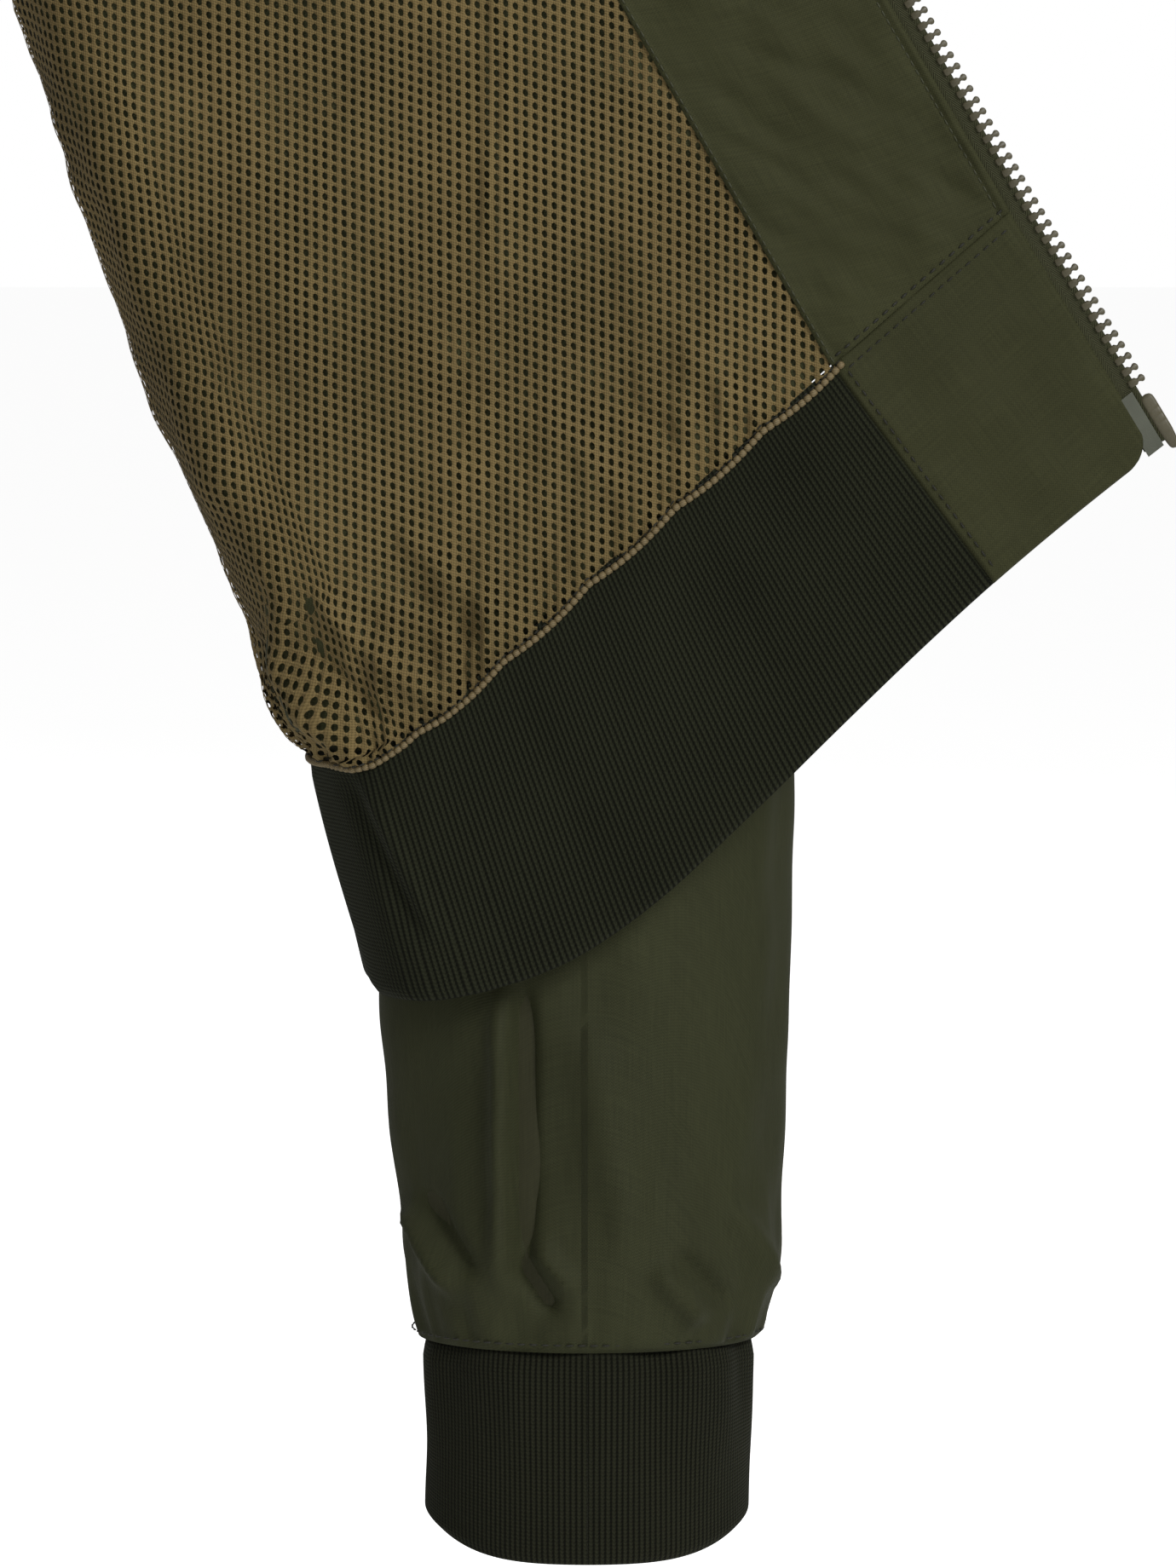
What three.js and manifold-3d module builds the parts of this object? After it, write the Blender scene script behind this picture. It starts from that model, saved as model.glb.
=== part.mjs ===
// Mesh-lined blouson jacket, hung by its loop, with the left front turned back over the left sleeve.
// Millimetres, +Z up. The wearer faces -Y and the wearer's left is +X.

import * as THREE from 'three';
import Module from 'manifold-3d';
import { mergeVertices } from 'three/addons/utils/BufferGeometryUtils.js';

// ---- Cloth and clearances ----
const SHELL_THICKNESS = 1.2;
const LINING_THICKNESS = 1.0;
const RIB_THICKNESS = 3.0;
const TAPE_THICKNESS = 0.8;
const LAYER_GAP = 0.6;
const SEAM_GAP = 0.3;
const RIB_SEAM_GAP = 0.7;
const SHOULDER_GAP = 1.5;

// ---- Torso ----
const HEM_Z = -600;
const HEM_HEIGHT = 68;
const SHOULDER_HALF_WIDTH = 225;
const SIDE_FLARE = 20;
const FLARE_LENGTH = 200;
const SHOULDER_TIP_Z = -46;
const NECK_HALF_WIDTH = 85;
const NECK_POINT_Z = 12;
const NECK_BACK_DEPTH = 40;
const NECK_FRONT_DEPTH = 70;
const THROAT_Z = -75;
const ARMHOLE_HALF_HEIGHT = 112;
const ARMHOLE_HALF_DEPTH = 70;
const BACK_HEM_DEPTH = 52;
const BACK_FULLNESS = 26;
const FRONT_HEM_DEPTH = 52;
const RIB_TOP_Z = HEM_Z + HEM_HEIGHT;
const ARMHOLE_CENTRE_Z = SHOULDER_TIP_Z - ARMHOLE_HALF_HEIGHT;
const UNDERARM_Z = ARMHOLE_CENTRE_Z - ARMHOLE_HALF_HEIGHT;

// ---- Collar and hanger loop ----
const COLLAR_HEIGHT = 55;
const COLLAR_LEAN = 8;
const COLLAR_SEAT = 1.0;
const LOOP_HALF_WIDTH = 26;
const LOOP_RISE = 15;
const LOOP_RADIUS = 1.4;
const LOOP_SETBACK = 5.4;

// ---- Front edge ----
const FACING_WIDTH = 68;
const PLACKET_WIDTH = 60;
const ZIP_STRIP = 8;
const ZIP_CENTRE_OFFSET = 2;

// ---- Zip ----
const TOOTH_PITCH = 3.5;
const TOOTH_LENGTH = 3.4;
const TOOTH_WIDTH = 1.7;
const TOOTH_THICKNESS = 2.6;
const BEAD_WIDTH = 1.6;
const STOP_LENGTH = 5;
const PIN_LENGTH = 17;
const PIN_WIDTH = 2.4;
const PIN_HEM_SHARE = 0.85;
const BOX_LENGTH = 9;
const BOX_WIDTH = 6;
const FILM_LENGTH = 15;
const FILM_THICKNESS = 0.3;
const CHAIN_CLEARANCE = 0.45;

// ---- Slider and pull tab ----
const SLIDER_LENGTH = 12;
const SLIDER_WIDTH = 10;
const SLIDER_PLATE = 1.3;
const SLIDER_POST = 2.2;
const LUG_WIDTH = 2.2;
const LUG_HEIGHT = 4.6;
const LUG_LENGTH = 6.4;
const LUG_WALL = 1.2;
const TAB_WIDTH = 6;
const TAB_LENGTH = 26;
const TAB_THICKNESS = 1.3;
const TAB_BAR = 1.3;
const TAB_WINDOW_HEIGHT = 4.4;

// ---- Sleeves ----
const ARMHOLE_EASE = 0.8;
const SLEEVE_CENTRE_X = 300;
const SLEEVE_HALF_THICKNESS = 32;
const SLEEVE_STRAIGHT_Z = -400;
const ELBOW_HALF_DEPTH = 60;
const FOREARM_HALF_DEPTH = 56.5;
const WRIST_HALF_DEPTH = 48;
const CUFF_TOP_Z = -700;
const CUFF_HEIGHT = 60;
const CUFF_HALF_DEPTH = 46;
const SLEEVE_CROWN_DROP = 64;
const UNDERARM_DROP = 20;
const UNDERARM_REACH = 0.75;
const WRIST_TAPER_LEVEL = 1.62;
const CUFF_EASE = 1;

// ---- Turned-back left front ----
const SPLIT_ROW = 0.38;
const SWING_GAP = 1.0;
const ROLL_HALF_WIDTH = 45;
const ROLL_DEPTH = 22;
const THROAT_ROLL_HALF_WIDTH = 9;
const THROAT_ROLL_DEPTH = 7;
const HEM_SAG = 18;
const ZIP_TOP = new THREE.Vector3(126, -92, -22);
const ZIP_AT_RIB = new THREE.Vector3(350, 118, -380);
const ZIP_AT_HEM = new THREE.Vector3(350, 158, -445.5);
const FOLD_AT_HEM = new THREE.Vector3(SLEEVE_CENTRE_X, -61, HEM_Z);
const TOP_EDGE_NECK_SHARE = 0.6;
const FACING_LARGEST_SHARE = 0.8;
const FOLD_LINE = new THREE.CatmullRomCurve3([
  new THREE.Vector3(108, -117, -14),
  new THREE.Vector3(205, -162, -95),
  new THREE.Vector3(262, -180, -190),
  new THREE.Vector3(290, -173, -280),
  new THREE.Vector3(298, -158, -326),
  new THREE.Vector3(SLEEVE_CENTRE_X, -123, -430),
  new THREE.Vector3(SLEEVE_CENTRE_X, -97, -490),
  new THREE.Vector3(SLEEVE_CENTRE_X, -77, RIB_TOP_Z),
]);

const OLIVE = new THREE.MeshStandardMaterial({ color: 0x383a26, roughness: 0.75, metalness: 0 });
const KHAKI_MESH = new THREE.MeshStandardMaterial({ color: 0x7c6d4d, roughness: 0.9, metalness: 0 });
const RIB_KNIT = new THREE.MeshStandardMaterial({ color: 0x202218, roughness: 0.95, metalness: 0 });
const ZIP_WOVEN = new THREE.MeshStandardMaterial({ color: 0x343623, roughness: 0.8, metalness: 0 });
const ZIP_PLASTIC = new THREE.MeshStandardMaterial({ color: 0x55503c, roughness: 0.45, metalness: 0 });
const ZIP_METAL = new THREE.MeshStandardMaterial({ color: 0x4a4633, roughness: 0.35, metalness: 0.8 });
const TAPE_FILM = new THREE.MeshStandardMaterial({ color: 0x5a5c4e, roughness: 0.35, metalness: 0 });

const jacket = new THREE.Group();

// Layer limits, measured from the middle of the shell cloth; positive is the garment's outside.
const SHELL_LAYER = [-SHELL_THICKNESS / 2, SHELL_THICKNESS / 2];
const INNER_FACE = -SHELL_THICKNESS / 2 - LAYER_GAP;
const LINING_LAYER = [INNER_FACE - LINING_THICKNESS, INNER_FACE];
const FACING_LAYER = [INNER_FACE - SHELL_THICKNESS, INNER_FACE];
const RIB_LAYER = [-RIB_THICKNESS / 2, RIB_THICKNESS / 2];
const TAPE_LAYER = [-TAPE_THICKNESS / 2, TAPE_THICKNESS / 2];

function clamp01(value) {
  return Math.min(1, Math.max(0, value));
}

function mix(a, b, share) {
  return a + (b - a) * share;
}

function steps(from, to, count) {
  return Array.from({ length: count + 1 }, (_, k) => mix(from, to, k / count));
}

function addNode(name, geometry, material) {
  const mesh = new THREE.Mesh(geometry, material.clone());
  mesh.name = name;
  jacket.add(mesh);
  return mesh;
}

function geometryFrom(points, triangles) {
  const geometry = new THREE.BufferGeometry();
  geometry.setAttribute('position', new THREE.Float32BufferAttribute(points.flatMap((p) => p.toArray()), 3));
  geometry.setIndex(triangles.flat());
  return geometry;
}

function signedVolume(points, triangles) {
  return triangles.reduce((sum, [a, b, c]) => {
    return sum + points[a].dot(points[b].clone().cross(points[c])) / 6;
  }, 0);
}

function closedGeometry(points, triangles) {
  const outward = signedVolume(points, triangles) > 0;
  return geometryFrom(points, outward ? triangles : triangles.map(([a, b, c]) => [a, c, b]));
}

// The unit normal of a surface, from short differences; the rows stay inside the panel.
function surfaceNormal(surface, s, v, sRange, vRange) {
  const ds = (sRange[1] - sRange[0]) * 0.002;
  const dv = (vRange[1] - vRange[0]) * 0.002;
  const vLow = Math.max(vRange[0], v - dv);
  const vHigh = Math.min(vRange[1], v + dv);
  const across = surface(s + ds, v).sub(surface(s - ds, v));
  const down = surface(s, vHigh).sub(surface(s, vLow));
  return across.cross(down).normalize();
}

// A cloth panel: a grid of surface points, thickened between two offsets along the normal.
function panelGeometry(surface, sList, vList, layer, outwardSign) {
  const sRange = [Math.min(...sList), Math.max(...sList)];
  const vRange = [Math.min(...vList), Math.max(...vList)];
  const points = [];
  for (const offset of layer) {
    for (const v of vList) {
      for (const s of sList) {
        const normal = surfaceNormal(surface, s, v, sRange, vRange);
        points.push(surface(s, v).addScaledVector(normal, offset * outwardSign));
      }
    }
  }
  return closedGeometry(points, gridShellTriangles(sList.length, vList.length));
}

// Triangles of a slab made of two facing grids, with its four edges closed.
function gridShellTriangles(columns, rows) {
  const layerSize = columns * rows;
  const at = (layer, row, column) => layer * layerSize + row * columns + column;
  const triangles = [];
  const quad = (a, b, c, d) => triangles.push([a, b, c], [a, c, d]);
  for (let row = 0; row + 1 < rows; row += 1) {
    for (let column = 0; column + 1 < columns; column += 1) {
      quad(at(0, row, column), at(0, row, column + 1), at(0, row + 1, column + 1), at(0, row + 1, column));
      quad(at(1, row, column), at(1, row + 1, column), at(1, row + 1, column + 1), at(1, row, column + 1));
    }
    const last = columns - 1;
    quad(at(0, row, 0), at(0, row + 1, 0), at(1, row + 1, 0), at(1, row, 0));
    quad(at(0, row, last), at(1, row, last), at(1, row + 1, last), at(0, row + 1, last));
  }
  for (let column = 0; column + 1 < columns; column += 1) {
    const last = rows - 1;
    quad(at(0, 0, column), at(1, 0, column), at(1, 0, column + 1), at(0, 0, column + 1));
    quad(at(0, last, column), at(0, last, column + 1), at(1, last, column + 1), at(1, last, column));
  }
  return triangles;
}

// A tube of cloth: rings of points, with an outer wall, an inner wall and two open ends.
function tubeGeometry(ring, levels, sides, outerInset, innerInset) {
  const points = [];
  for (const inset of [outerInset, innerInset]) {
    for (const level of levels) {
      for (let k = 0; k < sides; k += 1) {
        points.push(ring(level, (2 * Math.PI * k) / sides, inset));
      }
    }
  }
  const layerSize = sides * levels.length;
  const at = (layer, row, k) => layer * layerSize + row * sides + (k % sides);
  const triangles = [];
  const quad = (a, b, c, d) => triangles.push([a, b, c], [a, c, d]);
  for (let k = 0; k < sides; k += 1) {
    for (let row = 0; row + 1 < levels.length; row += 1) {
      quad(at(0, row, k), at(0, row, k + 1), at(0, row + 1, k + 1), at(0, row + 1, k));
      quad(at(1, row, k), at(1, row + 1, k), at(1, row + 1, k + 1), at(1, row, k + 1));
    }
    const last = levels.length - 1;
    quad(at(0, 0, k), at(1, 0, k), at(1, 0, k + 1), at(0, 0, k + 1));
    quad(at(0, last, k), at(0, last, k + 1), at(1, last, k + 1), at(1, last, k));
  }
  return closedGeometry(points, triangles);
}

// ---- Torso surfaces: the angle runs from -90 degrees, the right side seam, to 90, the left ----
// ---- v runs from 0 at the top edge to 1 at the rib and 2 at the hem ----

function sideX(z) {
  const share = clamp01((UNDERARM_Z - z) / FLARE_LENGTH);
  return SHOULDER_HALF_WIDTH + SIDE_FLARE * share * share * (3 - 2 * share);
}

function armholeEdgeDepth(z) {
  if (z > ARMHOLE_CENTRE_Z) return ARMHOLE_HALF_DEPTH;
  const share = clamp01((ARMHOLE_CENTRE_Z - z) / ARMHOLE_HALF_HEIGHT);
  return ARMHOLE_HALF_DEPTH * Math.sqrt(1 - share * share);
}

function neckShare(x0) {
  const share = clamp01(Math.abs(x0) / NECK_HALF_WIDTH);
  return Math.sqrt(1 - share * share);
}

function topZ(x0, neckZ) {
  const x = Math.abs(x0);
  if (x < NECK_HALF_WIDTH) return mix(NECK_POINT_Z, neckZ, neckShare(x0) ** 2);
  const share = (x - NECK_HALF_WIDTH) / (SHOULDER_HALF_WIDTH - NECK_HALF_WIDTH);
  return mix(NECK_POINT_Z, SHOULDER_TIP_Z, share);
}

// The drop below the shoulder seam brings the panel out to its full depth along a quarter ellipse.
function shoulderRamp(drop) {
  const share = 1 - clamp01(drop / ARMHOLE_HALF_HEIGHT);
  return Math.sqrt(1 - share * share);
}

function torsoPoint(angle, v, neckZ, neckDepth, centreDepth, side) {
  const sine = Math.sin((angle * Math.PI) / 180);
  const cosine = Math.cos((angle * Math.PI) / 180);
  const x0 = SHOULDER_HALF_WIDTH * sine;
  const top = topZ(x0, neckZ);
  const z = v <= 1 ? mix(top, RIB_TOP_Z, v) : mix(RIB_TOP_Z, HEM_Z, v - 1);
  const edgeDepth = armholeEdgeDepth(z);
  const fullDepth = mix(edgeDepth, centreDepth(z), cosine);
  const topDepth = neckDepth * neckShare(x0);
  const depth = mix(topDepth, fullDepth, shoulderRamp(top - z));
  const clearance = SEAM_GAP / 2 + SHOULDER_GAP * (1 - clamp01((top - z) / ARMHOLE_HALF_HEIGHT));
  return new THREE.Vector3(sideX(z) * sine, side * (depth + clearance), z);
}

function backDepth(z) {
  return BACK_HEM_DEPTH + BACK_FULLNESS * Math.sin(Math.PI * clamp01((z - HEM_Z) / -HEM_Z));
}

function frontDepth(z) {
  return mix(NECK_FRONT_DEPTH, FRONT_HEM_DEPTH, clamp01((THROAT_Z - z) / (THROAT_Z - HEM_Z)));
}

function backPoint(angle, v) {
  return torsoPoint(angle, v, 0, NECK_BACK_DEPTH, backDepth, 1);
}

function rightFrontPoint(angle, v) {
  return torsoPoint(angle, v, THROAT_Z, NECK_FRONT_DEPTH, frontDepth, -1);
}

function angleAt(x) {
  return (Math.asin(x / SHOULDER_HALF_WIDTH) * 180) / Math.PI;
}

const NECK_ANGLE = angleAt(NECK_HALF_WIDTH);
const SIDE_ANGLES = [33, 46, 59, 72, 84, 90];
const NECK_ANGLES = [NECK_ANGLE * 0.4, NECK_ANGLE * 0.75, NECK_ANGLE * 0.93, NECK_ANGLE];
const BACK_HALF = [...NECK_ANGLES, ...SIDE_ANGLES];
const BACK_ACROSS = [...BACK_HALF.map((angle) => -angle).reverse(), 0, ...BACK_HALF];
const BACK_LINING_ACROSS = BACK_ACROSS.slice(1, -1);
const BODY_ROWS = [0, 0.03, 0.1, 0.19, 0.28, 0.36, 0.43, 0.5, 0.6, 0.73, 0.86, 1];
const HEM_ROWS = steps(1, 2, 3);

// Rows kept clear of the next piece down by the seam gap.
function rowsAbove(rows, length) {
  return [...rows.slice(0, -1), rows[rows.length - 1] - RIB_SEAM_GAP / length];
}

const BODY_LENGTH = -RIB_TOP_Z;
const UPPER_ROWS = rowsAbove(BODY_ROWS, BODY_LENGTH);

addNode('back_shell', panelGeometry(backPoint, BACK_ACROSS, UPPER_ROWS, SHELL_LAYER, 1), OLIVE);
addNode('back_lining', panelGeometry(backPoint, BACK_LINING_ACROSS, UPPER_ROWS, LINING_LAYER, 1), KHAKI_MESH);
addNode('back_hem_rib', panelGeometry(backPoint, BACK_ACROSS, HEM_ROWS, RIB_LAYER, 1), RIB_KNIT);

// ---- Right front, hanging straight, its zip edge on the centre line ----

const FABRIC_EDGE = -ZIP_CENTRE_OFFSET - ZIP_STRIP;
const FABRIC_ANGLE = angleAt(FABRIC_EDGE);
const FACING_ANGLE = angleAt(-ZIP_CENTRE_OFFSET - FACING_WIDTH);
const PLACKET_ANGLE = angleAt(-ZIP_CENTRE_OFFSET - PLACKET_WIDTH);
const SEAM_ANGLE = angleAt(SEAM_GAP);
const RIGHT_SIDE = SIDE_ANGLES.map((angle) => -angle).reverse();
const RIGHT_NECK = [-NECK_ANGLE, -NECK_ANGLE * 0.93];
const FRONT_EDGE = [FACING_ANGLE * 0.6, FABRIC_ANGLE];

const rightShellAcross = [...RIGHT_SIDE, ...RIGHT_NECK, FACING_ANGLE, ...FRONT_EDGE];
const rightLiningAcross = [...RIGHT_SIDE.slice(1), ...RIGHT_NECK, FACING_ANGLE - 2 * SEAM_ANGLE];
const rightFacingAcross = [FACING_ANGLE, ...FRONT_EDGE];
const rightRibAcross = [...RIGHT_SIDE, RIGHT_NECK[0], PLACKET_ANGLE - SEAM_ANGLE];
const rightPlacketAcross = [PLACKET_ANGLE, ...FRONT_EDGE];

addNode('right_front_shell', panelGeometry(rightFrontPoint, rightShellAcross, UPPER_ROWS, SHELL_LAYER, -1), OLIVE);
addNode('right_front_lining', panelGeometry(rightFrontPoint, rightLiningAcross, UPPER_ROWS, LINING_LAYER, -1), KHAKI_MESH);
addNode('right_front_facing', panelGeometry(rightFrontPoint, rightFacingAcross, UPPER_ROWS, FACING_LAYER, -1), OLIVE);
addNode('right_front_rib', panelGeometry(rightFrontPoint, rightRibAcross, HEM_ROWS, RIB_LAYER, -1), RIB_KNIT);
addNode('right_hem_placket', panelGeometry(rightFrontPoint, rightPlacketAcross, HEM_ROWS, RIB_LAYER, -1), OLIVE);

// ---- Left front: inner leg from the side seam, a roll at the fold, outer leg to the zip ----

function rollShare(v) {
  return 1 - Math.pow(1 - clamp01(v), 3);
}

function foldPoint(v) {
  if (v <= 1) return FOLD_LINE.getPoint(v);
  return FOLD_LINE.getPoint(1).lerp(FOLD_AT_HEM, v - 1);
}

function rollPoint(angle, v) {
  const halfWidth = mix(THROAT_ROLL_HALF_WIDTH, ROLL_HALF_WIDTH, rollShare(v));
  const depth = mix(THROAT_ROLL_DEPTH, ROLL_DEPTH, rollShare(v));
  const point = foldPoint(v);
  point.x += halfWidth * Math.sin(angle);
  point.y += depth * (1 - Math.cos(angle));
  return point;
}

function sideEdge(v) {
  const armholeShare = (SHOULDER_TIP_Z - UNDERARM_Z) / (SHOULDER_TIP_Z - RIB_TOP_Z);
  const clearance = -SEAM_GAP / 2;
  if (v < armholeShare) {
    const angle = (Math.PI * v) / armholeShare;
    const y = clearance - ARMHOLE_HALF_DEPTH * Math.sin(angle);
    return new THREE.Vector3(SHOULDER_HALF_WIDTH, y, ARMHOLE_CENTRE_Z + ARMHOLE_HALF_HEIGHT * Math.cos(angle));
  }
  const z = v <= 1 ? mix(SHOULDER_TIP_Z, RIB_TOP_Z, v) : mix(RIB_TOP_Z, HEM_Z, v - 1);
  return new THREE.Vector3(sideX(z), clearance, z);
}

// Top edge of the inner leg: along the shoulder seam to the neck point, then down the neck to the fold.
function leftTopEdge(p) {
  const tip = sideEdge(0);
  const neck = new THREE.Vector3(NECK_HALF_WIDTH, -SHOULDER_GAP, NECK_POINT_Z);
  tip.y -= SHOULDER_GAP;
  if (p <= TOP_EDGE_NECK_SHARE) return tip.lerp(neck, p / TOP_EDGE_NECK_SHARE);
  const share = (p - TOP_EDGE_NECK_SHARE) / (1 - TOP_EDGE_NECK_SHARE);
  return neck.lerp(rollPoint(-Math.PI / 2, 0), share);
}

function innerLegPoint(p, v) {
  const straight = sideEdge(v).lerp(rollPoint(-Math.PI / 2, v), p);
  if (v >= 1) return straight;
  const straightTop = sideEdge(0).lerp(rollPoint(-Math.PI / 2, 0), p);
  const pull = leftTopEdge(p).sub(straightTop);
  return straight.addScaledVector(pull, (1 - v) * (1 - v));
}

function zipPoint(v) {
  if (v > 1) return ZIP_AT_RIB.clone().lerp(ZIP_AT_HEM, v - 1);
  const point = ZIP_TOP.clone().lerp(ZIP_AT_RIB, v);
  point.x = mix(ZIP_TOP.x, ZIP_AT_RIB.x, 1 - Math.pow(1 - v, 6));
  return point;
}

function outerLegPoint(q, v) {
  const point = rollPoint(Math.PI / 2, v).lerp(zipPoint(v), q);
  const sagShare = (256 / 27) * q * Math.pow(1 - q, 3);
  point.z -= HEM_SAG * sagShare * clamp01(v - 1);
  return point;
}

// The share of the outer leg that lies a given distance before the zip, measured square to it.
function legShare(v, beforeZip) {
  return Math.max(0.02, 1 - beforeZip / legWidth(v));
}

// The outer leg's width square to the zip, which runs straight on either side of the rib seam.
function legWidth(v) {
  const near = v >= 1 ? 1 : Math.max(0, v - 0.01);
  const far = v >= 1 ? 2 : near + 0.01;
  const along = zipPoint(far).sub(zipPoint(near)).normalize();
  const leg = zipPoint(v).sub(rollPoint(Math.PI / 2, v));
  return leg.cross(along).length();
}

// One sheet across all three stretches: s is -1 to 0 inner leg, 0 to 1 roll, 1 to 2 outer leg.
function leftFrontPoint(s, v) {
  if (s <= 0) return innerLegPoint(s + 1, v);
  if (s <= 1) return rollPoint(Math.PI * (s - 0.5), v);
  return outerLegPoint(s - 1, v);
}

// An outer-leg panel between two distances from the zip; s runs 0 to 1 between them.
function edgeStrip(farFromZip, nearZip) {
  return (s, v) => outerLegPoint(mix(legShare(v, farFromZip(v)), legShare(v, nearZip), s), v);
}

function facingWidthAt(v) {
  return Math.min(FACING_WIDTH, FACING_LARGEST_SHARE * legWidth(v));
}

const TOP_ROWS = [0, 0.03, 0.07, 0.12, 0.18, 0.25, 0.31, SPLIT_ROW];
const FLAP_ROWS = [SPLIT_ROW, 0.46, 0.55, 0.64, 0.73, 0.82, 0.91, 1];
const SWING_SHARE = SWING_GAP / BODY_LENGTH;
const topRows = [...TOP_ROWS.slice(0, -1), SPLIT_ROW - SWING_SHARE];
const flapRows = rowsAbove([SPLIT_ROW + SWING_SHARE, ...FLAP_ROWS.slice(1)], BODY_LENGTH);

const INNER_LEG = [-1, -0.9, -0.75, -0.6, -0.4, -0.2, 0];
const ROLL = steps(0, 1, 6);
const ROLL_CLEAR = 0.004;
const innerOnly = [...INNER_LEG.slice(0, -1), -ROLL_CLEAR];
const rollOnly = [ROLL_CLEAR, ...ROLL.slice(1, -1), 1 - ROLL_CLEAR];
const topInner = [...INNER_LEG, ...ROLL.slice(1)];
const leftPanel = (surface, columns, rows, layer) => panelGeometry(surface, columns, rows, layer, 1);

// A sheet on the outer leg whose columns are 0 to 1 up to the facing and 1 to 2 across it.
function legSheet(start, edgeFromZip) {
  return (s, v) => {
    const seam = legShare(v, facingWidthAt(v));
    const share = s <= 1 ? mix(start, seam, s) : mix(seam, legShare(v, edgeFromZip), s - 1);
    return outerLegPoint(share, v);
  };
}

// The sheet from the side seam to the fabric edge, for the rows above the swing split.
function wholeTop(s, v) {
  return s <= 1 ? leftFrontPoint(s, v) : legSheet(0, ZIP_STRIP)(s - 1, v);
}

const placketWidthAt = (v) => mix(FACING_WIDTH, PLACKET_WIDTH, clamp01(v - 1));
const flapSheet = legSheet(ROLL_CLEAR, ZIP_STRIP);
const placket = edgeStrip(placketWidthAt, ZIP_STRIP);
const flapRib = (s, v) => outerLegPoint(mix(ROLL_CLEAR, legShare(v, placketWidthAt(v) + SEAM_GAP), s), v);
const tape = edgeStrip(() => ZIP_STRIP - SEAM_GAP, BEAD_WIDTH + SEAM_GAP);

const LINING_END = 1 - 0.004;
const facingColumns = [1, 1.5, 2];
const topShellColumns = [...topInner, 1.5, 2, 2.5, 3];
const topLiningColumns = [...topInner, 1.5, 1 + LINING_END];
const stripColumns = [0, 0.5, 1];
const ribColumns = steps(0, 1, 4);
const zipRows = [...flapRows.slice(0, -1), ...HEM_ROWS];

addNode('left_yoke_shell', leftPanel(wholeTop, topShellColumns, topRows, SHELL_LAYER), OLIVE);
addNode('left_yoke_lining', leftPanel(wholeTop, topLiningColumns, topRows, LINING_LAYER), KHAKI_MESH);
addNode('left_yoke_facing', leftPanel(wholeTop, [2, 2.5, 3], topRows, FACING_LAYER), OLIVE);
addNode('left_side_shell', leftPanel(leftFrontPoint, innerOnly, flapRows, SHELL_LAYER), OLIVE);
addNode('left_side_lining', leftPanel(leftFrontPoint, innerOnly, flapRows, LINING_LAYER), KHAKI_MESH);
addNode('left_side_rib', leftPanel(leftFrontPoint, [-0.98, ...innerOnly.slice(1)], HEM_ROWS, RIB_LAYER), RIB_KNIT);
addNode('left_fold_shell', leftPanel(leftFrontPoint, rollOnly, flapRows, SHELL_LAYER), OLIVE);
addNode('left_fold_lining', leftPanel(leftFrontPoint, rollOnly, flapRows, LINING_LAYER), KHAKI_MESH);
addNode('left_fold_rib', leftPanel(leftFrontPoint, rollOnly, HEM_ROWS, RIB_LAYER), RIB_KNIT);
addNode('left_front_shell', leftPanel(flapSheet, [0, 0.5, ...facingColumns], flapRows, SHELL_LAYER), OLIVE);
addNode('left_front_lining', leftPanel(flapSheet, [0, 0.5, LINING_END], flapRows, LINING_LAYER), KHAKI_MESH);
addNode('left_front_facing', leftPanel(flapSheet, facingColumns, flapRows, FACING_LAYER), OLIVE);
addNode('left_front_rib', leftPanel(flapRib, ribColumns, HEM_ROWS, RIB_LAYER), RIB_KNIT);
addNode('left_hem_placket', leftPanel(placket, stripColumns, HEM_ROWS, RIB_LAYER), OLIVE);
addNode('left_zip_tape_upper', leftPanel(tape, [0, 1], topRows, TAPE_LAYER), ZIP_WOVEN);
addNode('left_zip_tape', leftPanel(tape, [0, 1], zipRows, TAPE_LAYER), ZIP_WOVEN);

// ---- Zip chains ----

// A straight-edged path through points, read by the distance along it.
class ChainPath {
  constructor(points, across) {
    this.points = points;
    this.across = across;
    this.starts = [0];
    for (let k = 1; k < points.length; k += 1) {
      this.starts.push(this.starts[k - 1] + points[k].distanceTo(points[k - 1]));
    }
    this.length = this.starts[this.starts.length - 1];
  }

  // The place a along the chain, b across it towards the free edge and c through its thickness.
  place(a, b, c) {
    const last = this.points.length - 2;
    const found = this.starts.findIndex((start, k) => k <= last && a < this.starts[k + 1]);
    const k = found < 0 ? last : found;
    const share = (a - this.starts[k]) / (this.starts[k + 1] - this.starts[k]);
    const along = this.points[k + 1].clone().sub(this.points[k]);
    const point = this.points[k].clone().addScaledVector(along, share);
    const across = this.across[k].clone().lerp(this.across[k + 1], share);
    const tangent = along.normalize();
    across.addScaledVector(tangent, -across.dot(tangent)).normalize();
    const through = tangent.clone().cross(across);
    return point.addScaledVector(across, b).addScaledVector(through, c);
  }
}

// Bends a flat extrusion (x along, y across, z through) on to a chain path.
function bendOnPath(flat, path) {
  const geometry = flat.clone();
  geometry.deleteAttribute('uv');
  geometry.deleteAttribute('normal');
  const merged = mergeVertices(geometry, 1e-4);
  const position = merged.getAttribute('position');
  for (let k = 0; k < position.count; k += 1) {
    const point = path.place(position.getX(k), position.getY(k), position.getZ(k));
    position.setXYZ(k, point.x, point.y, point.z);
  }
  return turnedOutward(merged);
}

function turnedOutward(geometry) {
  const position = geometry.getAttribute('position');
  const points = Array.from({ length: position.count }, (_, k) => {
    return new THREE.Vector3().fromBufferAttribute(position, k);
  });
  const index = Array.from(geometry.getIndex().array);
  const triangles = Array.from({ length: index.length / 3 }, (_, k) => index.slice(3 * k, 3 * k + 3));
  return closedGeometry(points, triangles);
}

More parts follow.
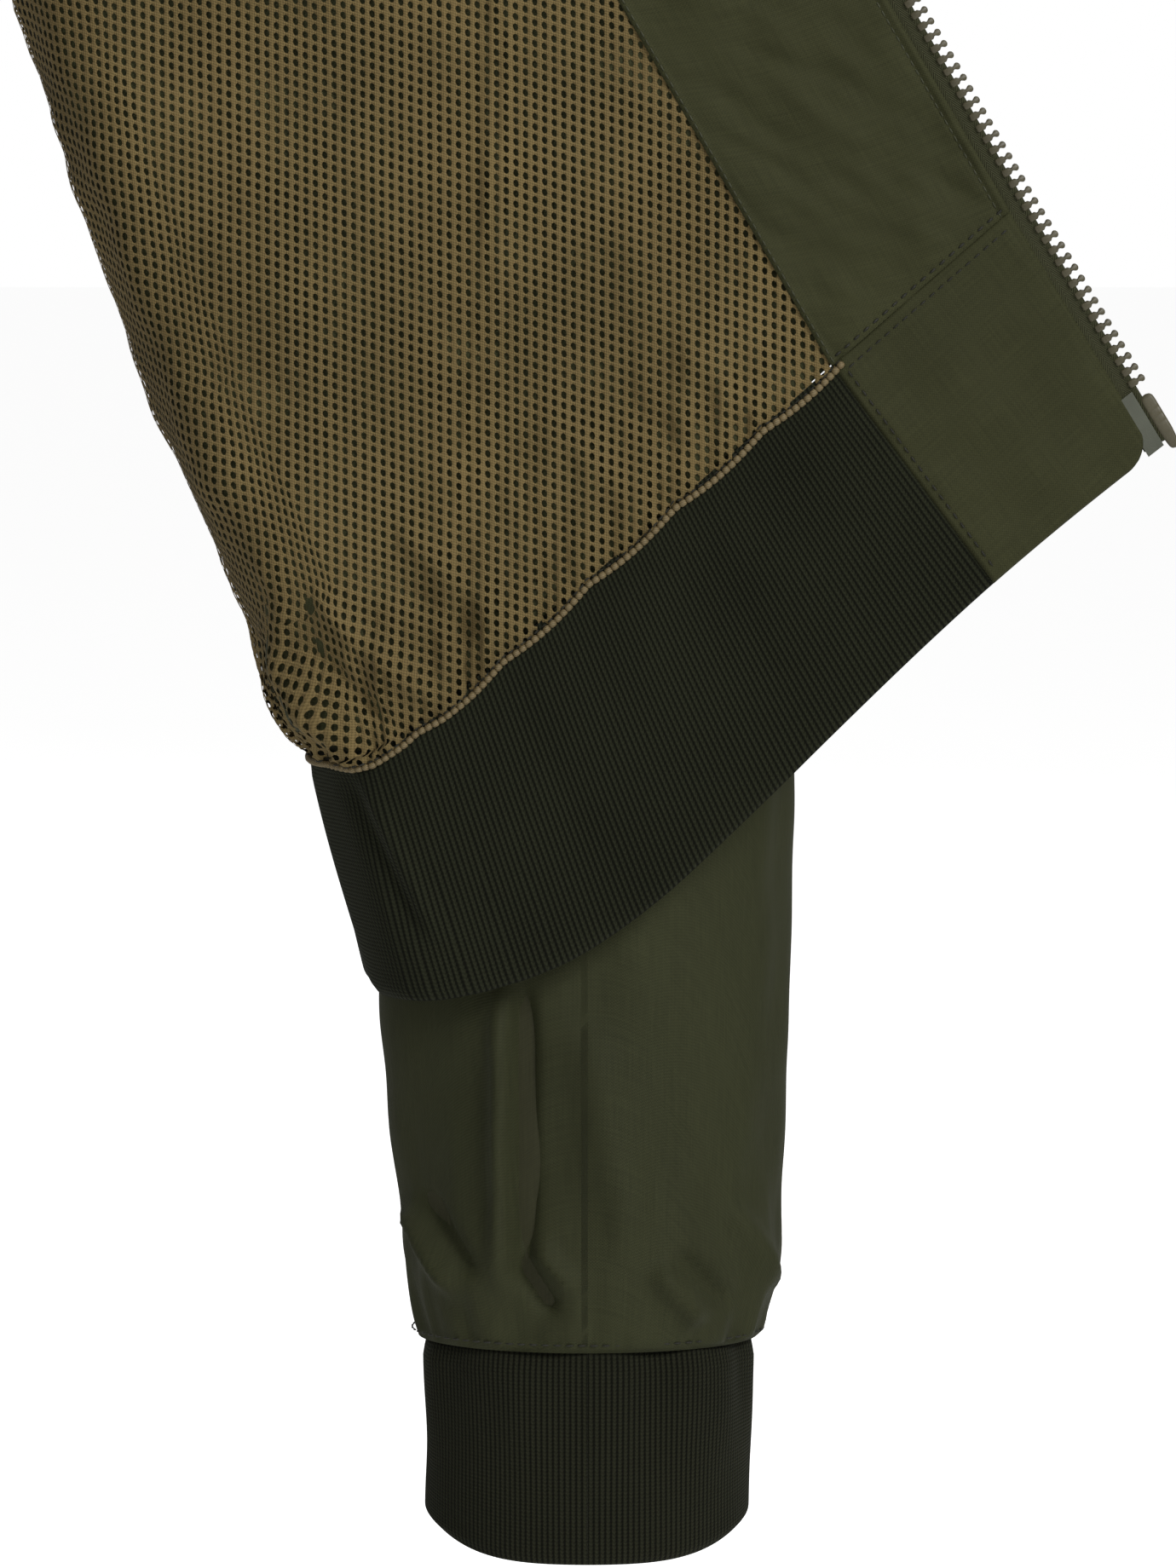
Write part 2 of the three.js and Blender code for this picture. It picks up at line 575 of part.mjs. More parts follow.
// A row of teeth on its bead, as a comb, from start to end along the path. Each stretch between
// two stations is a block of bead, and every second one carries a tooth.
function combGeometry(path, start, end) {
  const count = Math.floor((end - start) / TOOTH_PITCH);
  const stations = [start];
  for (let k = 0; k < count; k += 1) {
    const low = start + k * TOOTH_PITCH + (TOOTH_PITCH - TOOTH_WIDTH) / 2;
    stations.push(low, low + TOOTH_WIDTH);
  }
  stations.push(start + count * TOOTH_PITCH);
  const points = [];
  const corner = (a, b, c) => points.push(path.place(a, b, c)) - 1;
  const section = (a, b) => [corner(a, b, -TOOTH_THICKNESS / 2), corner(a, b, TOOTH_THICKNESS / 2)];
  const bead = stations.map((a) => section(a, -BEAD_WIDTH));
  const root = stations.map((a) => section(a, 0));
  const tip = stations.map((a, k) => (k > 0 && k + 1 < stations.length ? section(a, TOOTH_LENGTH) : null));
  const triangles = [];
  const quad = (p, q, r, s) => triangles.push([p, q, r], [p, r, s]);
  for (let k = 0; k + 1 < stations.length; k += 1) {
    quad(bead[k][0], bead[k][1], bead[k + 1][1], bead[k + 1][0]);
    quad(bead[k][1], root[k][1], root[k + 1][1], bead[k + 1][1]);
    quad(bead[k][0], bead[k + 1][0], root[k + 1][0], root[k][0]);
    if (k % 2 === 0) {
      quad(root[k][1], root[k][0], root[k + 1][0], root[k + 1][1]);
    } else {
      quad(root[k][1], tip[k][1], tip[k + 1][1], root[k + 1][1]);
      quad(root[k][0], root[k + 1][0], tip[k + 1][0], tip[k][0]);
      quad(root[k][1], root[k][0], tip[k][0], tip[k][1]);
      quad(root[k + 1][0], root[k + 1][1], tip[k + 1][1], tip[k + 1][0]);
      quad(tip[k][1], tip[k][0], tip[k + 1][0], tip[k + 1][1]);
    }
  }
  const last = stations.length - 1;
  quad(bead[0][1], bead[0][0], root[0][0], root[0][1]);
  quad(bead[last][0], bead[last][1], root[last][1], root[last][0]);
  return closedGeometry(points, triangles);
}

function extruded(shape, depth) {
  const geometry = new THREE.ExtrudeGeometry(shape, { depth, bevelEnabled: false, steps: 1 });
  geometry.translate(0, 0, -depth / 2);
  return geometry;
}

function blockOnPath(path, start, end, low, high, thickness) {
  const shape = new THREE.Shape([
    new THREE.Vector2(start, low),
    new THREE.Vector2(end, low),
    new THREE.Vector2(end, high),
    new THREE.Vector2(start, high),
  ]);
  return bendOnPath(extruded(shape, thickness), path);
}

function rulingAt(v) {
  return zipPoint(v).sub(rollPoint(Math.PI / 2, v)).normalize();
}

function leftPath(rows) {
  return new ChainPath(rows.map(zipPoint), rows.map(rulingAt));
}

const upperPath = leftPath(topRows);
const lowerPath = leftPath([...flapRows.slice(0, -1), 1, 2]);
const lowerEnd = lowerPath.length - PIN_LENGTH * PIN_HEM_SHARE;
const stopOn = (path) => blockOnPath(path, 0, STOP_LENGTH, -BEAD_WIDTH, TOOTH_LENGTH, TOOTH_THICKNESS);
addNode('left_top_stop', stopOn(upperPath), ZIP_PLASTIC);
addNode('left_zip_teeth_upper', combGeometry(upperPath, STOP_LENGTH + SEAM_GAP, upperPath.length), ZIP_PLASTIC);
addNode('left_zip_teeth', combGeometry(lowerPath, 0, lowerEnd), ZIP_PLASTIC);
const pinStart = lowerEnd + SEAM_GAP;
const pinGeometry = blockOnPath(lowerPath, pinStart, pinStart + PIN_LENGTH, -BEAD_WIDTH, PIN_WIDTH, TOOTH_THICKNESS);
addNode('left_insertion_pin', pinGeometry, ZIP_PLASTIC);

// The clear film on the lining side of the left tape end.
const filmLayer = [-TAPE_THICKNESS / 2 - SEAM_GAP - FILM_THICKNESS, -TAPE_THICKNESS / 2 - SEAM_GAP];
const filmRows = [2 - FILM_LENGTH / HEM_HEIGHT, 2];
const leftFilm = edgeStrip(() => ZIP_STRIP - 2 * SEAM_GAP, BEAD_WIDTH + 2 * SEAM_GAP);
addNode('left_tape_film', leftPanel(leftFilm, [0, 1], filmRows, filmLayer), TAPE_FILM);

const zipTop = rightFrontPoint(FABRIC_ANGLE, 0);
zipTop.x = -ZIP_CENTRE_OFFSET;
const zipHem = new THREE.Vector3(-ZIP_CENTRE_OFFSET, rightFrontPoint(FABRIC_ANGLE, 2).y, HEM_Z);
const toFreeEdge = new THREE.Vector3(1, 0, 0);
const rightPath = new ChainPath([zipTop, zipHem], [toFreeEdge, toFreeEdge]);
const boxStart = rightPath.length - BOX_LENGTH;
const tapeSide = -ZIP_STRIP + SEAM_GAP;
const tapeGeometry = blockOnPath(rightPath, 0, rightPath.length, tapeSide, -BEAD_WIDTH - SEAM_GAP, TAPE_THICKNESS);
addNode('right_zip_tape', tapeGeometry, ZIP_WOVEN);
addNode('right_top_stop', stopOn(rightPath), ZIP_PLASTIC);
addNode('right_zip_teeth', combGeometry(rightPath, STOP_LENGTH + SEAM_GAP, boxStart - SEAM_GAP), ZIP_PLASTIC);
const boxGeometry = blockOnPath(rightPath, boxStart, rightPath.length, -BEAD_WIDTH, BOX_WIDTH, 2 * TOOTH_THICKNESS);
addNode('right_retainer_box', boxGeometry, ZIP_PLASTIC);
const filmStart = rightPath.length - FILM_LENGTH;
const filmEdge = -BEAD_WIDTH - 2 * SEAM_GAP;
const rightFilmGeometry = blockOnPath(
  rightPath, filmStart, rightPath.length, tapeSide + SEAM_GAP, filmEdge, FILM_THICKNESS,
);
const filmShift = TAPE_THICKNESS / 2 + SEAM_GAP + FILM_THICKNESS / 2;
rightFilmGeometry.translate(0, filmShift, 0);
addNode('right_tape_film', rightFilmGeometry, TAPE_FILM);

// ---- Slider: two plates joined by a post, with a lug for the tab; x along the chain, y across, z out ----

const plateGap = TOOTH_THICKNESS / 2 + CHAIN_CLEARANCE;
const plateOuter = plateGap + SLIDER_PLATE;
const sliderStart = boxStart - SEAM_GAP - SLIDER_LENGTH;
const postLow = TOOTH_LENGTH + CHAIN_CLEARANCE;
const postHigh = postLow + SLIDER_POST;
const plateLow = postHigh - SLIDER_WIDTH;

// The slider frame: x along the chain, y across towards the free edge, z out of the front.
function placeOnRightChain(geometry) {
  const origin = rightPath.place(0, 0, 0);
  const basis = new THREE.Matrix4().makeBasis(
    rightPath.place(1, 0, 0).sub(origin),
    rightPath.place(0, 1, 0).sub(origin),
    rightPath.place(0, 0, 1).sub(origin),
  );
  return geometry.applyMatrix4(basis.setPosition(origin));
}

function rectangle(lowX, highX, lowY, highY) {
  return [
    new THREE.Vector2(lowX, lowY),
    new THREE.Vector2(highX, lowY),
    new THREE.Vector2(highX, highY),
    new THREE.Vector2(lowX, highY),
  ];
}

function sliderChannel() {
  const outline = [
    ...rectangle(plateLow, postHigh, -plateOuter, plateOuter).slice(0, 3),
    new THREE.Vector2(plateLow, plateOuter),
    new THREE.Vector2(plateLow, plateGap),
    new THREE.Vector2(postLow, plateGap),
    new THREE.Vector2(postLow, -plateGap),
    new THREE.Vector2(plateLow, -plateGap),
  ];
  const depth = SLIDER_LENGTH;
  const channel = new THREE.ExtrudeGeometry(new THREE.Shape(outline), { depth, bevelEnabled: false, steps: 1 });
  const turn = new THREE.Matrix4().makeBasis(
    new THREE.Vector3(0, 1, 0),
    new THREE.Vector3(0, 0, 1),
    new THREE.Vector3(1, 0, 0),
  );
  return channel.applyMatrix4(turn).translate(sliderStart, 0, 0);
}

const lugCentre = sliderStart + SLIDER_LENGTH / 2;
const lugAcross = (plateLow + postHigh) / 2;
const lugTop = plateOuter + LUG_HEIGHT;
const barHeight = plateOuter + (LUG_HEIGHT - LUG_WALL) / 2;

function sliderLug() {
  const half = LUG_LENGTH / 2;
  const sunk = SLIDER_PLATE / 2;
  const shape = new THREE.Shape(rectangle(lugCentre - half, lugCentre + half, plateOuter - sunk, lugTop));
  const eye = rectangle(lugCentre - half + LUG_WALL, lugCentre + half - LUG_WALL, plateOuter, lugTop - LUG_WALL);
  shape.holes.push(new THREE.Path(eye.reverse()));
  const lug = extruded(shape, LUG_WIDTH);
  lug.rotateX(Math.PI / 2);
  return lug.translate(0, lugAcross, 0);
}

function asManifold(wasm, geometry) {
  const bare = geometry.clone();
  bare.deleteAttribute('uv');
  bare.deleteAttribute('normal');
  const merged = mergeVertices(bare, 1e-4);
  return new wasm.Manifold(new wasm.Mesh({
    numProp: 3,
    vertProperties: merged.getAttribute('position').array,
    triVerts: Uint32Array.from(merged.getIndex().array),
  }));
}

function fromManifold(solid) {
  const mesh = solid.getMesh();
  const geometry = new THREE.BufferGeometry();
  geometry.setAttribute('position', new THREE.BufferAttribute(mesh.vertProperties, 3));
  geometry.setIndex(new THREE.BufferAttribute(mesh.triVerts, 1));
  return geometry;
}

function pullTab() {
  const half = TAB_WIDTH / 2;
  const top = lugCentre - TAB_BAR / 2;
  const shape = new THREE.Shape([
    new THREE.Vector2(top, lugAcross - half),
    new THREE.Vector2(top + TAB_LENGTH - half / 2, lugAcross - half),
    new THREE.Vector2(top + TAB_LENGTH, lugAcross - half / 2),
    new THREE.Vector2(top + TAB_LENGTH, lugAcross + half / 2),
    new THREE.Vector2(top + TAB_LENGTH - half / 2, lugAcross + half),
    new THREE.Vector2(top, lugAcross + half),
  ]);
  const window = rectangle(
    top + TAB_BAR, top + TAB_BAR + TAB_WINDOW_HEIGHT, lugAcross - half + TAB_BAR, lugAcross + half - TAB_BAR,
  );
  shape.holes.push(new THREE.Path(window.reverse()));
  return extruded(shape, TAB_THICKNESS).translate(0, 0, barHeight);
}

const wasm = await Module();
wasm.setup();
const sliderSolid = asManifold(wasm, sliderChannel()).add(asManifold(wasm, sliderLug()));
addNode('zip_slider', placeOnRightChain(fromManifold(sliderSolid)), ZIP_METAL);
addNode('slider_pull_tab', placeOnRightChain(pullTab()), ZIP_METAL);

// ---- Sleeves: an outer and an inner contour, joined by elliptical rings ----

const ARMHOLE_X = SHOULDER_HALF_WIDTH + ARMHOLE_EASE;
const OUTER_X = SLEEVE_CENTRE_X + SLEEVE_HALF_THICKNESS;
const INNER_X = SLEEVE_CENTRE_X - SLEEVE_HALF_THICKNESS;
const OUTER_CONTOUR = new THREE.QuadraticBezierCurve3(
  new THREE.Vector3(ARMHOLE_X, 0, SHOULDER_TIP_Z),
  new THREE.Vector3(SLEEVE_CENTRE_X, 0, SHOULDER_TIP_Z - SLEEVE_CROWN_DROP),
  new THREE.Vector3(OUTER_X, 0, SLEEVE_STRAIGHT_Z),
);
const INNER_CONTOUR = new THREE.QuadraticBezierCurve3(
  new THREE.Vector3(ARMHOLE_X, 0, UNDERARM_Z),
  new THREE.Vector3(mix(ARMHOLE_X, INNER_X, UNDERARM_REACH), 0, UNDERARM_Z - UNDERARM_DROP),
  new THREE.Vector3(INNER_X, 0, SLEEVE_STRAIGHT_Z - UNDERARM_DROP),
);
const SHOULDER_LEVELS = [0, 0.15, 0.3, 0.45, 0.6, 0.8, 1];
const FOREARM_LEVELS = [1.25, 1.5, 1.68, 1.82, 1.93, 2];

function sleeveHalfDepth(level) {
  if (level <= 1) return mix(ARMHOLE_HALF_DEPTH, ELBOW_HALF_DEPTH, level);
  if (level <= WRIST_TAPER_LEVEL) {
    return mix(ELBOW_HALF_DEPTH, FOREARM_HALF_DEPTH, (level - 1) / (WRIST_TAPER_LEVEL - 1));
  }
  const share = (level - WRIST_TAPER_LEVEL) / (2 - WRIST_TAPER_LEVEL);
  return mix(FOREARM_HALF_DEPTH, WRIST_HALF_DEPTH, share * share);
}

function sleeveRing(level, angle, inset) {
  const drop = clamp01(level - 1);
  const outer = OUTER_CONTOUR.getPoint(Math.min(level, 1));
  const inner = INNER_CONTOUR.getPoint(Math.min(level, 1));
  outer.z = mix(outer.z, CUFF_TOP_Z + SEAM_GAP, drop);
  inner.z = mix(inner.z, CUFF_TOP_Z + SEAM_GAP, drop);
  const half = outer.clone().sub(inner).multiplyScalar(0.5);
  const reach = half.length() - inset;
  const centre = outer.add(inner).multiplyScalar(0.5);
  centre.addScaledVector(half.normalize(), reach * Math.cos(angle));
  centre.y += (sleeveHalfDepth(level) - inset) * Math.sin(angle);
  return centre;
}

function cuffRing(level, angle, inset) {
  const halfDepth = mix(WRIST_HALF_DEPTH - CUFF_EASE, CUFF_HALF_DEPTH, Math.sqrt(level));
  const x = SLEEVE_CENTRE_X + (SLEEVE_HALF_THICKNESS - inset) * Math.cos(angle);
  return new THREE.Vector3(x, (halfDepth - inset) * Math.sin(angle), CUFF_TOP_Z - CUFF_HEIGHT * level);
}

const SLEEVE_LEVELS = [...SHOULDER_LEVELS, ...FOREARM_LEVELS];
const LINING_INSET = SHELL_THICKNESS + LAYER_GAP;
const SLEEVE_SIDES = 20;

for (const [side, sign] of [['left', 1], ['right', -1]]) {
  const mirrored = (ring) => (level, angle, inset) => {
    const point = ring(level, angle, inset);
    return point.set(sign * point.x, point.y, point.z);
  };
  const sleeve = mirrored(sleeveRing);
  const liningDepth = LINING_INSET + LINING_THICKNESS;
  addNode(`${side}_sleeve_shell`, tubeGeometry(sleeve, SLEEVE_LEVELS, SLEEVE_SIDES, 0, SHELL_THICKNESS), OLIVE);
  addNode(`${side}_sleeve_lining`, tubeGeometry(sleeve, SLEEVE_LEVELS, SLEEVE_SIDES, LINING_INSET, liningDepth), OLIVE);
  addNode(`${side}_cuff`, tubeGeometry(mirrored(cuffRing), [0, 0.2, 0.6, 1], SLEEVE_SIDES, 0, RIB_THICKNESS), RIB_KNIT);
}

// ---- Collar: a rib band that stands on the neck edge, from the right zip round to the left fold ----

function neckEdge() {
  const rightNeck = [FABRIC_ANGLE, FACING_ANGLE * 0.6, FACING_ANGLE, ...RIGHT_NECK.slice().reverse()];
  const rightPoints = rightNeck.map((angle) => rightFrontPoint(angle, 0));
  const backNeck = BACK_ACROSS.filter((angle) => Math.abs(angle) < NECK_ANGLE - 1);
  const backPoints = backNeck.map((angle) => backPoint(angle, 0));
  const leftPoints = steps(TOP_EDGE_NECK_SHARE, 1, 4).map(leftTopEdge);
  return [...rightPoints, ...backPoints, ...leftPoints];
}

const NECK_EDGE = neckEdge();

function collarPoint(s, h) {
  const k = Math.max(0, Math.min(NECK_EDGE.length - 2, Math.floor(s)));
  const base = NECK_EDGE[k].clone().lerp(NECK_EDGE[k + 1], s - k);
  const reach = Math.hypot(base.x, base.y);
  base.x -= (COLLAR_LEAN * h * base.x) / reach;
  base.y -= (COLLAR_LEAN * h * base.y) / reach;
  base.z += COLLAR_SEAT + COLLAR_HEIGHT * h;
  return base;
}

const collarColumns = steps(0, NECK_EDGE.length - 1, NECK_EDGE.length - 1);
addNode('collar_rib', panelGeometry(collarPoint, collarColumns, [0, 0.5, 1], RIB_LAYER, 1), RIB_KNIT);

const loopEnd = backPoint(angleAt(LOOP_HALF_WIDTH), 0);
const loopY = loopEnd.y - LOOP_SETBACK;
const LOOP_TOP = loopEnd.z + LOOP_RISE;
const loopPath = new THREE.CatmullRomCurve3([
  new THREE.Vector3(-LOOP_HALF_WIDTH, loopY, loopEnd.z),
  new THREE.Vector3(-LOOP_HALF_WIDTH * 0.85, loopY, loopEnd.z + LOOP_RISE * 0.7),
  new THREE.Vector3(0, loopY, LOOP_TOP),
  new THREE.Vector3(LOOP_HALF_WIDTH * 0.85, loopY, loopEnd.z + LOOP_RISE * 0.7),
  new THREE.Vector3(LOOP_HALF_WIDTH, loopY, loopEnd.z),
]);
const loopSection = new THREE.Shape(
  steps(0, 7, 7).map((k) => {
    const angle = (2 * Math.PI * k) / 8;
    return new THREE.Vector2(LOOP_RADIUS * Math.cos(angle), LOOP_RADIUS * Math.sin(angle));
  }),
);
const loopGeometry = new THREE.ExtrudeGeometry(loopSection, { steps: 20, extrudePath: loopPath, bevelEnabled: false });
addNode('hanger_loop', loopGeometry, OLIVE);

// The origin is the point that the hook carries, under the top of the loop.
jacket.position.set(0, -loopY, -(LOOP_TOP - LOOP_RADIUS));

export default jacket;
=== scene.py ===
"""A mesh-lined rib-knit blouson jacket, hung by its loop, with the left front turned back over the sleeve.

Metres, +Z up. The wearer faces -Y and the wearer's left is +X. Every surface is worked out with numpy in the
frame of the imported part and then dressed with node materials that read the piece's own UV map, in metres.
"""

from __future__ import annotations

import logging
import math
from dataclasses import dataclass
from enum import Enum
from functools import lru_cache
from typing import Callable, Sequence

import bpy
import numpy as np
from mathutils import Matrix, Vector

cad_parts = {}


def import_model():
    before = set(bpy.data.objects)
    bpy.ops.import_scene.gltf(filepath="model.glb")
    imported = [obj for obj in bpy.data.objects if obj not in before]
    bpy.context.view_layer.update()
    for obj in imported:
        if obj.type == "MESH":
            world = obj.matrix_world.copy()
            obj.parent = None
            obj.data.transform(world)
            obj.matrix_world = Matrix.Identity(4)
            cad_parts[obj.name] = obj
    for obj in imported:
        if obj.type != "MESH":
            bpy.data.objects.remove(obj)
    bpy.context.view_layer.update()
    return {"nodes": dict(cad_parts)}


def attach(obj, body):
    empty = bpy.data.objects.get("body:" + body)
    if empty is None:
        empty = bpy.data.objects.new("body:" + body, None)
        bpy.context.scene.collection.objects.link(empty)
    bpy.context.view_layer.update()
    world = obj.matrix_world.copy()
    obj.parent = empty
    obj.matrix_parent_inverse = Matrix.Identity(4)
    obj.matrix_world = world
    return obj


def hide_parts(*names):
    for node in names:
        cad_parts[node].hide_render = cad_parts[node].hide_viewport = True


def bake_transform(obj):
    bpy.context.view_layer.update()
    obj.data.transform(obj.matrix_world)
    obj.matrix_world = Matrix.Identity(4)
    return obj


LOG = logging.getLogger("jacket")
Array = np.ndarray
Surface = Callable[[Array, Array], Array]
Arrays = tuple[Array, ...]

SHIFT = np.array([0.0, -34.33, -14.72])
TINY = 1e-9


class Body(str, Enum):
    """The moving bodies of the part."""

    JACKET = "jacket"
    LEFT_FRONT = "left_front"
    LEFT_SLEEVE = "left_sleeve"
    RIGHT_SLEEVE = "right_sleeve"


class Slot(str, Enum):
    """The finish slots of the part's record."""

    SHELL = "shell_cloth"
    MESH = "mesh_lining"
    SLEEVE_LINING = "sleeve_lining"
    RIB = "rib_knit"
    TAPE = "zip_tape"
    TEETH = "zip_teeth"
    METAL = "zip_metal"
    FILM = "tape_film"


# ---- Small helpers on arrays ----


def mix(a: Array | float, b: Array | float, share: Array | float) -> Array | float:
    """Returns a plus the share of the way from a to b."""
    return a + (b - a) * share


def clamp01(value: Array | float) -> Array:
    """Returns the value kept between 0 and 1."""
    return np.clip(value, 0.0, 1.0)


def smooth(low: float, high: float, value: Array | float) -> Array:
    """Returns 0 below low, 1 above high and the cubic 3t^2 - 2t^3 between them."""
    share = clamp01((np.asarray(value, float) - low) / (high - low))
    return share * share * (3 - 2 * share)


def vector(x: Array, y: Array, z: Array) -> Array:
    """Stacks three coordinate arrays into points."""
    return np.stack(np.broadcast_arrays(x, y, z), axis=-1).astype(float)


def unit(vectors: Array) -> Array:
    """Returns the vectors scaled to length one."""
    return vectors / np.maximum(np.linalg.norm(vectors, axis=-1, keepdims=True), TINY)


def waves(u: Array, v: Array, size: float, seed: int, stretch: float = 1.0, count: int = 14) -> Array:
    """Soft random relief: the mean of cosine waves whose directions and phases come from a seed.

    Args:
        u: first coordinate, in the unit of size.
        v: second coordinate.
        size: the mean wavelength.
        seed: the seed of the waves.
        stretch: above one, the waves are longer along v than along u.
        count: how many waves are summed.

    Returns:
        Values mostly between -1 and 1.
    """
    rng = np.random.default_rng(seed)
    total = np.zeros(np.broadcast(u, v).shape)
    turns, phases = rng.uniform(0, math.pi, count), rng.uniform(0, 2 * math.pi, count)
    for turn, phase, scale in zip(turns, phases, rng.uniform(0.6, 1.6, count)):
        step = 2 * math.pi * scale / size
        total += np.cos(step * (u * math.cos(turn) + v * math.sin(turn) / stretch) + phase)
    return total / math.sqrt(count * 1.2)


def bell(offset: Array, width: float) -> Array:
    """Returns one at no offset, falling away as a Gaussian whose 1/e half width is given."""
    return np.exp(-((offset / width) ** 2))


def two_steps(split: float, first: int, last: int) -> Array:
    """Returns 0 to 1 with first values up to the split and last values from it on."""
    return np.concatenate([np.linspace(0, split, first)[:-1], np.linspace(split, 1, last)])


def ridge(
    u: Array, v: Array, start: Sequence[float], end: Sequence[float], width: float, height: float
) -> Array:
    """A crease: height times a bell across the line from start to end, fading at both ends.

    Args:
        u: first coordinate of the sheet.
        v: second coordinate.
        start: the crease's first end in u and v.
        end: its other end.
        width: half its width.
        height: its height, negative for a valley.

    Returns:
        The relief of the crease.
    """
    du, dv = end[0] - start[0], end[1] - start[1]
    length = math.hypot(du, dv)
    along = ((u - start[0]) * du + (v - start[1]) * dv) / length
    across = ((u - start[0]) * dv - (v - start[1]) * du) / length
    fade = smooth(-0.12 * length, 0.2 * length, along) * (1 - smooth(0.8 * length, 1.12 * length, along))
    return height * fade * bell(across, width)


def creased(u: Array, v: Array, creases: Sequence[tuple]) -> Array:
    """Returns the sum of several ridges."""
    return sum(ridge(u, v, *crease) for crease in creases)


# ---- The part's surfaces, in the millimetres of its drawing, as arrays ----

HEM_Z, RIB_TOP_Z = -600.0, -532.0
SHOULDER_X, SHOULDER_Z, NECK_X, NECK_Z = 225.0, -46.0, 85.0, 12.0
ARM_HEIGHT, ARM_DEPTH, ARM_CENTRE, UNDERARM = 112.0, 70.0, -158.0, -270.0
THROAT_Z, NECK_BACK, NECK_FRONT = -75.0, 40.0, 70.0
ZIP_STRIP, ZIP_OFFSET, FACING, PLACKET = 8.0, 2.0, 68.0, 60.0
PLACKET_HALF, STITCH_SINK = 1.5, 0.05
FLARE, FLARE_LENGTH, FACING_EDGE = 20, 200, 5.2
RIB_HEIGHT, CUFF_HEIGHT, COLLAR_HEIGHT = 68, 60, 55
CLEARANCE = 0.15
SEAM_ROW = 0.999


@dataclass(frozen=True)
class Torso:
    """The back, or the straight right front: angle runs -90 to 90 degrees, v is 0 top, 1 rib seam, 2 hem."""

    neck_z: float
    neck_depth: float
    side: int

    def centre_depth(self, z: Array) -> Array:
        """Depth on the centre line: a half sine on the back, a straight taper on the front."""
        if self.side > 0:
            return 52 + 26 * np.sin(math.pi * clamp01((z - HEM_Z) / 600))
        return mix(NECK_FRONT, 52.0, clamp01((THROAT_Z - z) / (THROAT_Z - HEM_Z)))

    def point(self, angle: Array, v: Array) -> Array:
        """Points of the panel: depth grows from the top edge as a quarter ellipse, width follows the sine."""
        sine, cosine = np.sin(np.radians(angle)), np.cos(np.radians(angle))
        x0 = np.abs(SHOULDER_X * sine)
        neck = np.sqrt(1 - clamp01(x0 / NECK_X) ** 2)
        slope = mix(NECK_Z, SHOULDER_Z, (x0 - NECK_X) / (SHOULDER_X - NECK_X))
        top = np.where(x0 < NECK_X, mix(NECK_Z, self.neck_z, neck**2), slope)
        z = np.where(v <= 1, mix(top, RIB_TOP_Z, v), mix(RIB_TOP_Z, HEM_Z, v - 1))
        round_arm = ARM_DEPTH * np.sqrt(1 - clamp01((ARM_CENTRE - z) / ARM_HEIGHT) ** 2)
        edge = np.where(z > ARM_CENTRE, ARM_DEPTH, round_arm)
        full = mix(edge, self.centre_depth(z), cosine)
        rest = 1 - clamp01((top - z) / ARM_HEIGHT)
        depth = mix(self.neck_depth * neck, full, np.sqrt(1 - rest**2)) + CLEARANCE
        flare = smooth(0, FLARE_LENGTH, UNDERARM - z)
        return vector((SHOULDER_X + FLARE * flare) * sine, self.side * depth, z)


def angle_at(x: float) -> float:
    """Returns the torso angle whose sine brings the panel to x."""
    return math.degrees(math.asin(x / SHOULDER_X))


BACK = Torso(0.0, NECK_BACK, 1)
RIGHT_FRONT = Torso(THROAT_Z, NECK_FRONT, -1)


def spline(knots: Array, t: Array) -> Array:
    """A centripetal Catmull-Rom curve through the knots, with t from 0 to 1 spread evenly over them."""
    padded = np.vstack([2 * knots[0] - knots[1], knots, 2 * knots[-1] - knots[-2]])
    scaled = np.clip(t, 0, 1) * (len(knots) - 1)
    k = np.minimum(scaled.astype(int), len(knots) - 2)
    w = (scaled - k)[..., None]
    p = [padded[k + i] for i in range(4)]
    d = [np.maximum(np.linalg.norm(p[i + 1] - p[i], axis=-1, keepdims=True), 1e-6) ** 0.5 for i in range(3)]
    m1 = ((p[1] - p[0]) / d[0] - (p[2] - p[0]) / (d[0] + d[1]) + (p[2] - p[1]) / d[1]) * d[1]
    m2 = ((p[2] - p[1]) / d[1] - (p[3] - p[1]) / (d[1] + d[2]) + (p[3] - p[2]) / d[2]) * d[1]
    a, b = 2 * (p[1] - p[2]) + m1 + m2, -3 * (p[1] - p[2]) - 2 * m1 - m2
    return ((a * w + b) * w + m1) * w + p[1]


FOLD_KNOTS = np.array([
    (108, -117, -14), (205, -162, -95), (262, -180, -190), (290, -173, -280),
    (298, -158, -326), (300, -123, -430), (300, -97, -490), (300, -77, -532),
], float)
FOLD_HEM = np.array([300.0, -61, -600])
ZIP_TOP = np.array([126.0, -92, -22])
ZIP_RIB, ZIP_HEM = np.array([350.0, 118, -380]), np.array([350.0, 158, -445.5])


